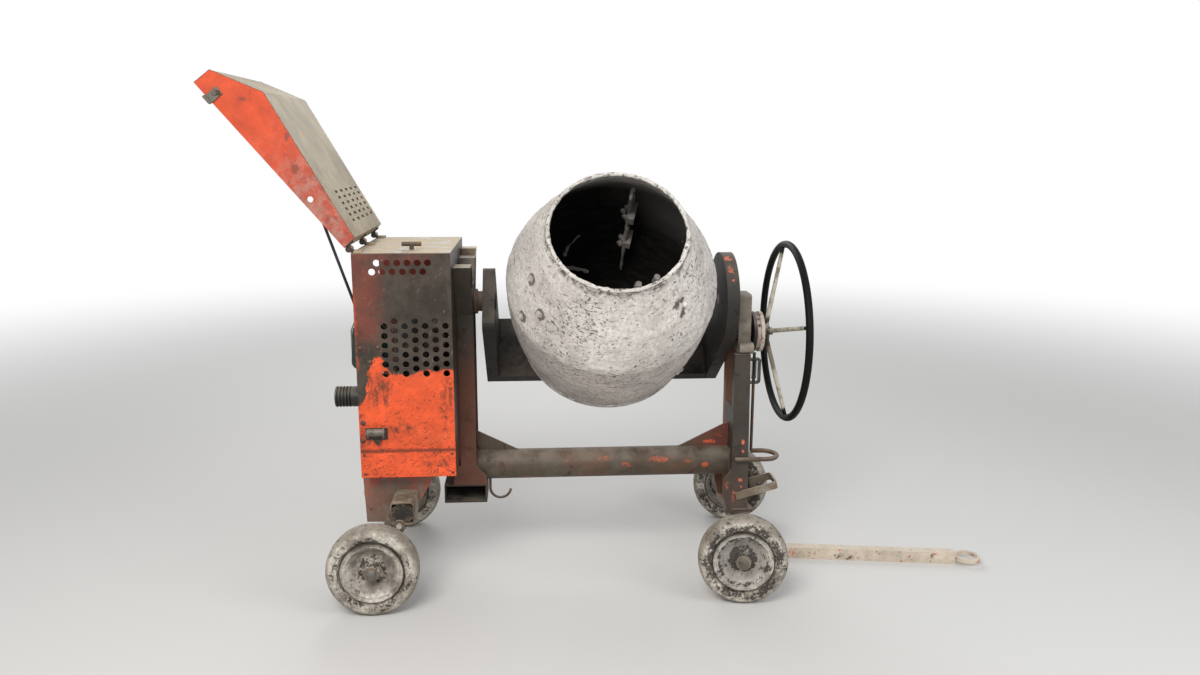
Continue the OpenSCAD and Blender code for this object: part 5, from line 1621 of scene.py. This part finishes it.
# %% [markdown]
# Inside the drum the paddles have grown thick with cement. The crust is a few bars of uneven thickness
# along each blade, with knobs where the brackets sit. Two knobs of the same crust cling to the mouth's
# edge.

# %% Crust on the paddles and at the mouth
blade = [(0.258, 0.336), (0.21, 0.346), (0.15, 0.3545), (0.113, 0.350), (0.07, 0.348), (0.03, 0.346),
         (-0.02, 0.340), (-0.053, 0.336), (-0.10, 0.325)]
lumps = []
for turn in paddle_turns:
    for shift, size in ((0.0, 0.0095), (-0.030, 0.0070)):
        rows = spaced([(h, r + shift) for h, r in blade], 0.012)
        points = [on_drum(h, r + dice.uniform(-0.002, 0.002), turn + dice.uniform(-0.4, 0.4))
                  for h, r in rows]
        lumps.append((points, [size * dice.uniform(0.75, 1.35) for _ in rows]))
    for height, reach in ((0.113, 0.352), (-0.053, 0.338)):
        for k in range(4):
            spot = on_drum(height + dice.uniform(-0.012, 0.012), reach - 0.012 * k,
                           turn + 3.2 + dice.uniform(-1.0, 1.5))
            tip = spot + Vector((0.010, 0.004, 0.008)) * dice.uniform(0.5, 1.2)
            lumps.append(([spot, tip], [0.013, 0.011]))
ridges = [((-0.059, 0.320, 117.7), (-0.019, 0.330, 107.9), 0.0035),
          ((-0.100, 0.315, 121.0), (-0.059, 0.320, 117.7), 0.0060),
          ((-0.159, 0.295, 121.9), (-0.225, 0.280, 102.6), 0.0075)]
steps = 9
for (h0, r0, a0), (h1, r1, a1), size in ridges:
    points = [on_drum(h0 + (h1 - h0) * k / steps, r0 + (r1 - r0) * k / steps - dice.uniform(0, 0.004),
                      a0 + (a1 - a0) * k / steps) for k in range(steps + 1)]
    lumps.append((points, [size * dice.uniform(0.6, 1.4) for _ in points]))
bars("paddle_crust", lumps, blade_crust, "drum", 2)

bm = bmesh.new()
for turn in (-76.0, -58.5):
    for height, wide in ((0.446, 0.0145), (0.460, 0.0125)):
        peg(bm, axes_at(on_drum(height, 0.2235, turn), drum_axis), wide, wide * 0.92, 0.016, 14)
bmesh.ops.subdivide_edges(bm, edges=bm.edges[:], cuts=2, use_grid_fill=True)
roughened(bm, 0.0022, 80.0)
finished("mouth_stubs", bm, [stub_crust], "drum")

# %% [markdown]
# A stray wire has scratched the drum's belly. It is a hair-thin dark line that follows the surface.

# %% Scratch on the drum
widths = [0.0016, 0.0014, 0.0010, 0.0012, 0.0013, 0.0012, 0.0010, 0.0012, 0.0010]
line = []
for k in range(len(widths)):
    share = k / (len(widths) - 1)
    lap = 0.0035 if share > 0.85 else 0.0
    radius = 0.3815 + 0.006 * (1 - share) * share + lap
    line.append(on_drum(0.190 - 0.054 * share, radius, -80.6 - 3.6 * share))
bars("drum_scratch", [(line, widths)], spring_steel, "drum", 1)

# %% [markdown]
# The handwheel's spokes are set a few degrees apart from the solid's, as the picture shows them: the upper
# one leans to the far side and the near one rises. Its rim is a small circle spun about the shaft, and each
# spoke a thin cone.

# %% Handwheel
rim_x = 1.546


def on_shaft(x):
    """A point of the handwheel's axis."""
    return Vector((datum.x + x, joint["handwheel_turn"]["pos_m"][1], joint["handwheel_turn"]["pos_m"][2]))


bm = bmesh.new()
stand = axes_at(on_shaft(rim_x), (1, 0, 0), (0, 0, 1))
tube = 0.0138
hoop = [(tube * math.sin(a * math.tau / 18), 0.336 + tube * math.cos(a * math.tau / 18)) for a in range(19)]
lathe(bm, hoop, stand, 160)
lumps = []
for degrees in (-12, 77, 169, 259):
    turn = math.radians(degrees)
    out = Vector((0, -math.sin(turn), math.cos(turn)))
    low = on_shaft(1.473) + out * 0.020
    high = on_shaft(rim_x) + out * 0.330
    peg(bm, axes_at((low + high) / 2, high - low), 0.0092, 0.0074, (high - low).length)
    reach = (high - low).normalized()
    lumps.append(([low - reach * 0.004, low + reach * 0.006, low + reach * 0.014], [0.011, 0.0135, 0.0096]))
hub_rows = [(-0.094, 0.0150), (-0.094, 0.031), (-0.092, 0.0325), (-0.068, 0.0325), (-0.064, 0.030),
            (-0.062, 0.024), (-0.062, 0)]
lathe(bm, hub_rows, stand, 48)
finished("handwheel_dressed", bm, [wheel_paint], "handwheel", ["handwheel"], crease=40)
knob = [on_shaft(x) + Vector((0, y, z)) for x, y, z in ((1.486, -0.004, 0.012), (1.492, -0.010, 0.004),
                                                        (1.487, -0.012, -0.010))]
bars("hub_lumps", [*lumps, (knob, [0.010, 0.013, 0.009])], wheel_paint, "handwheel", 2)
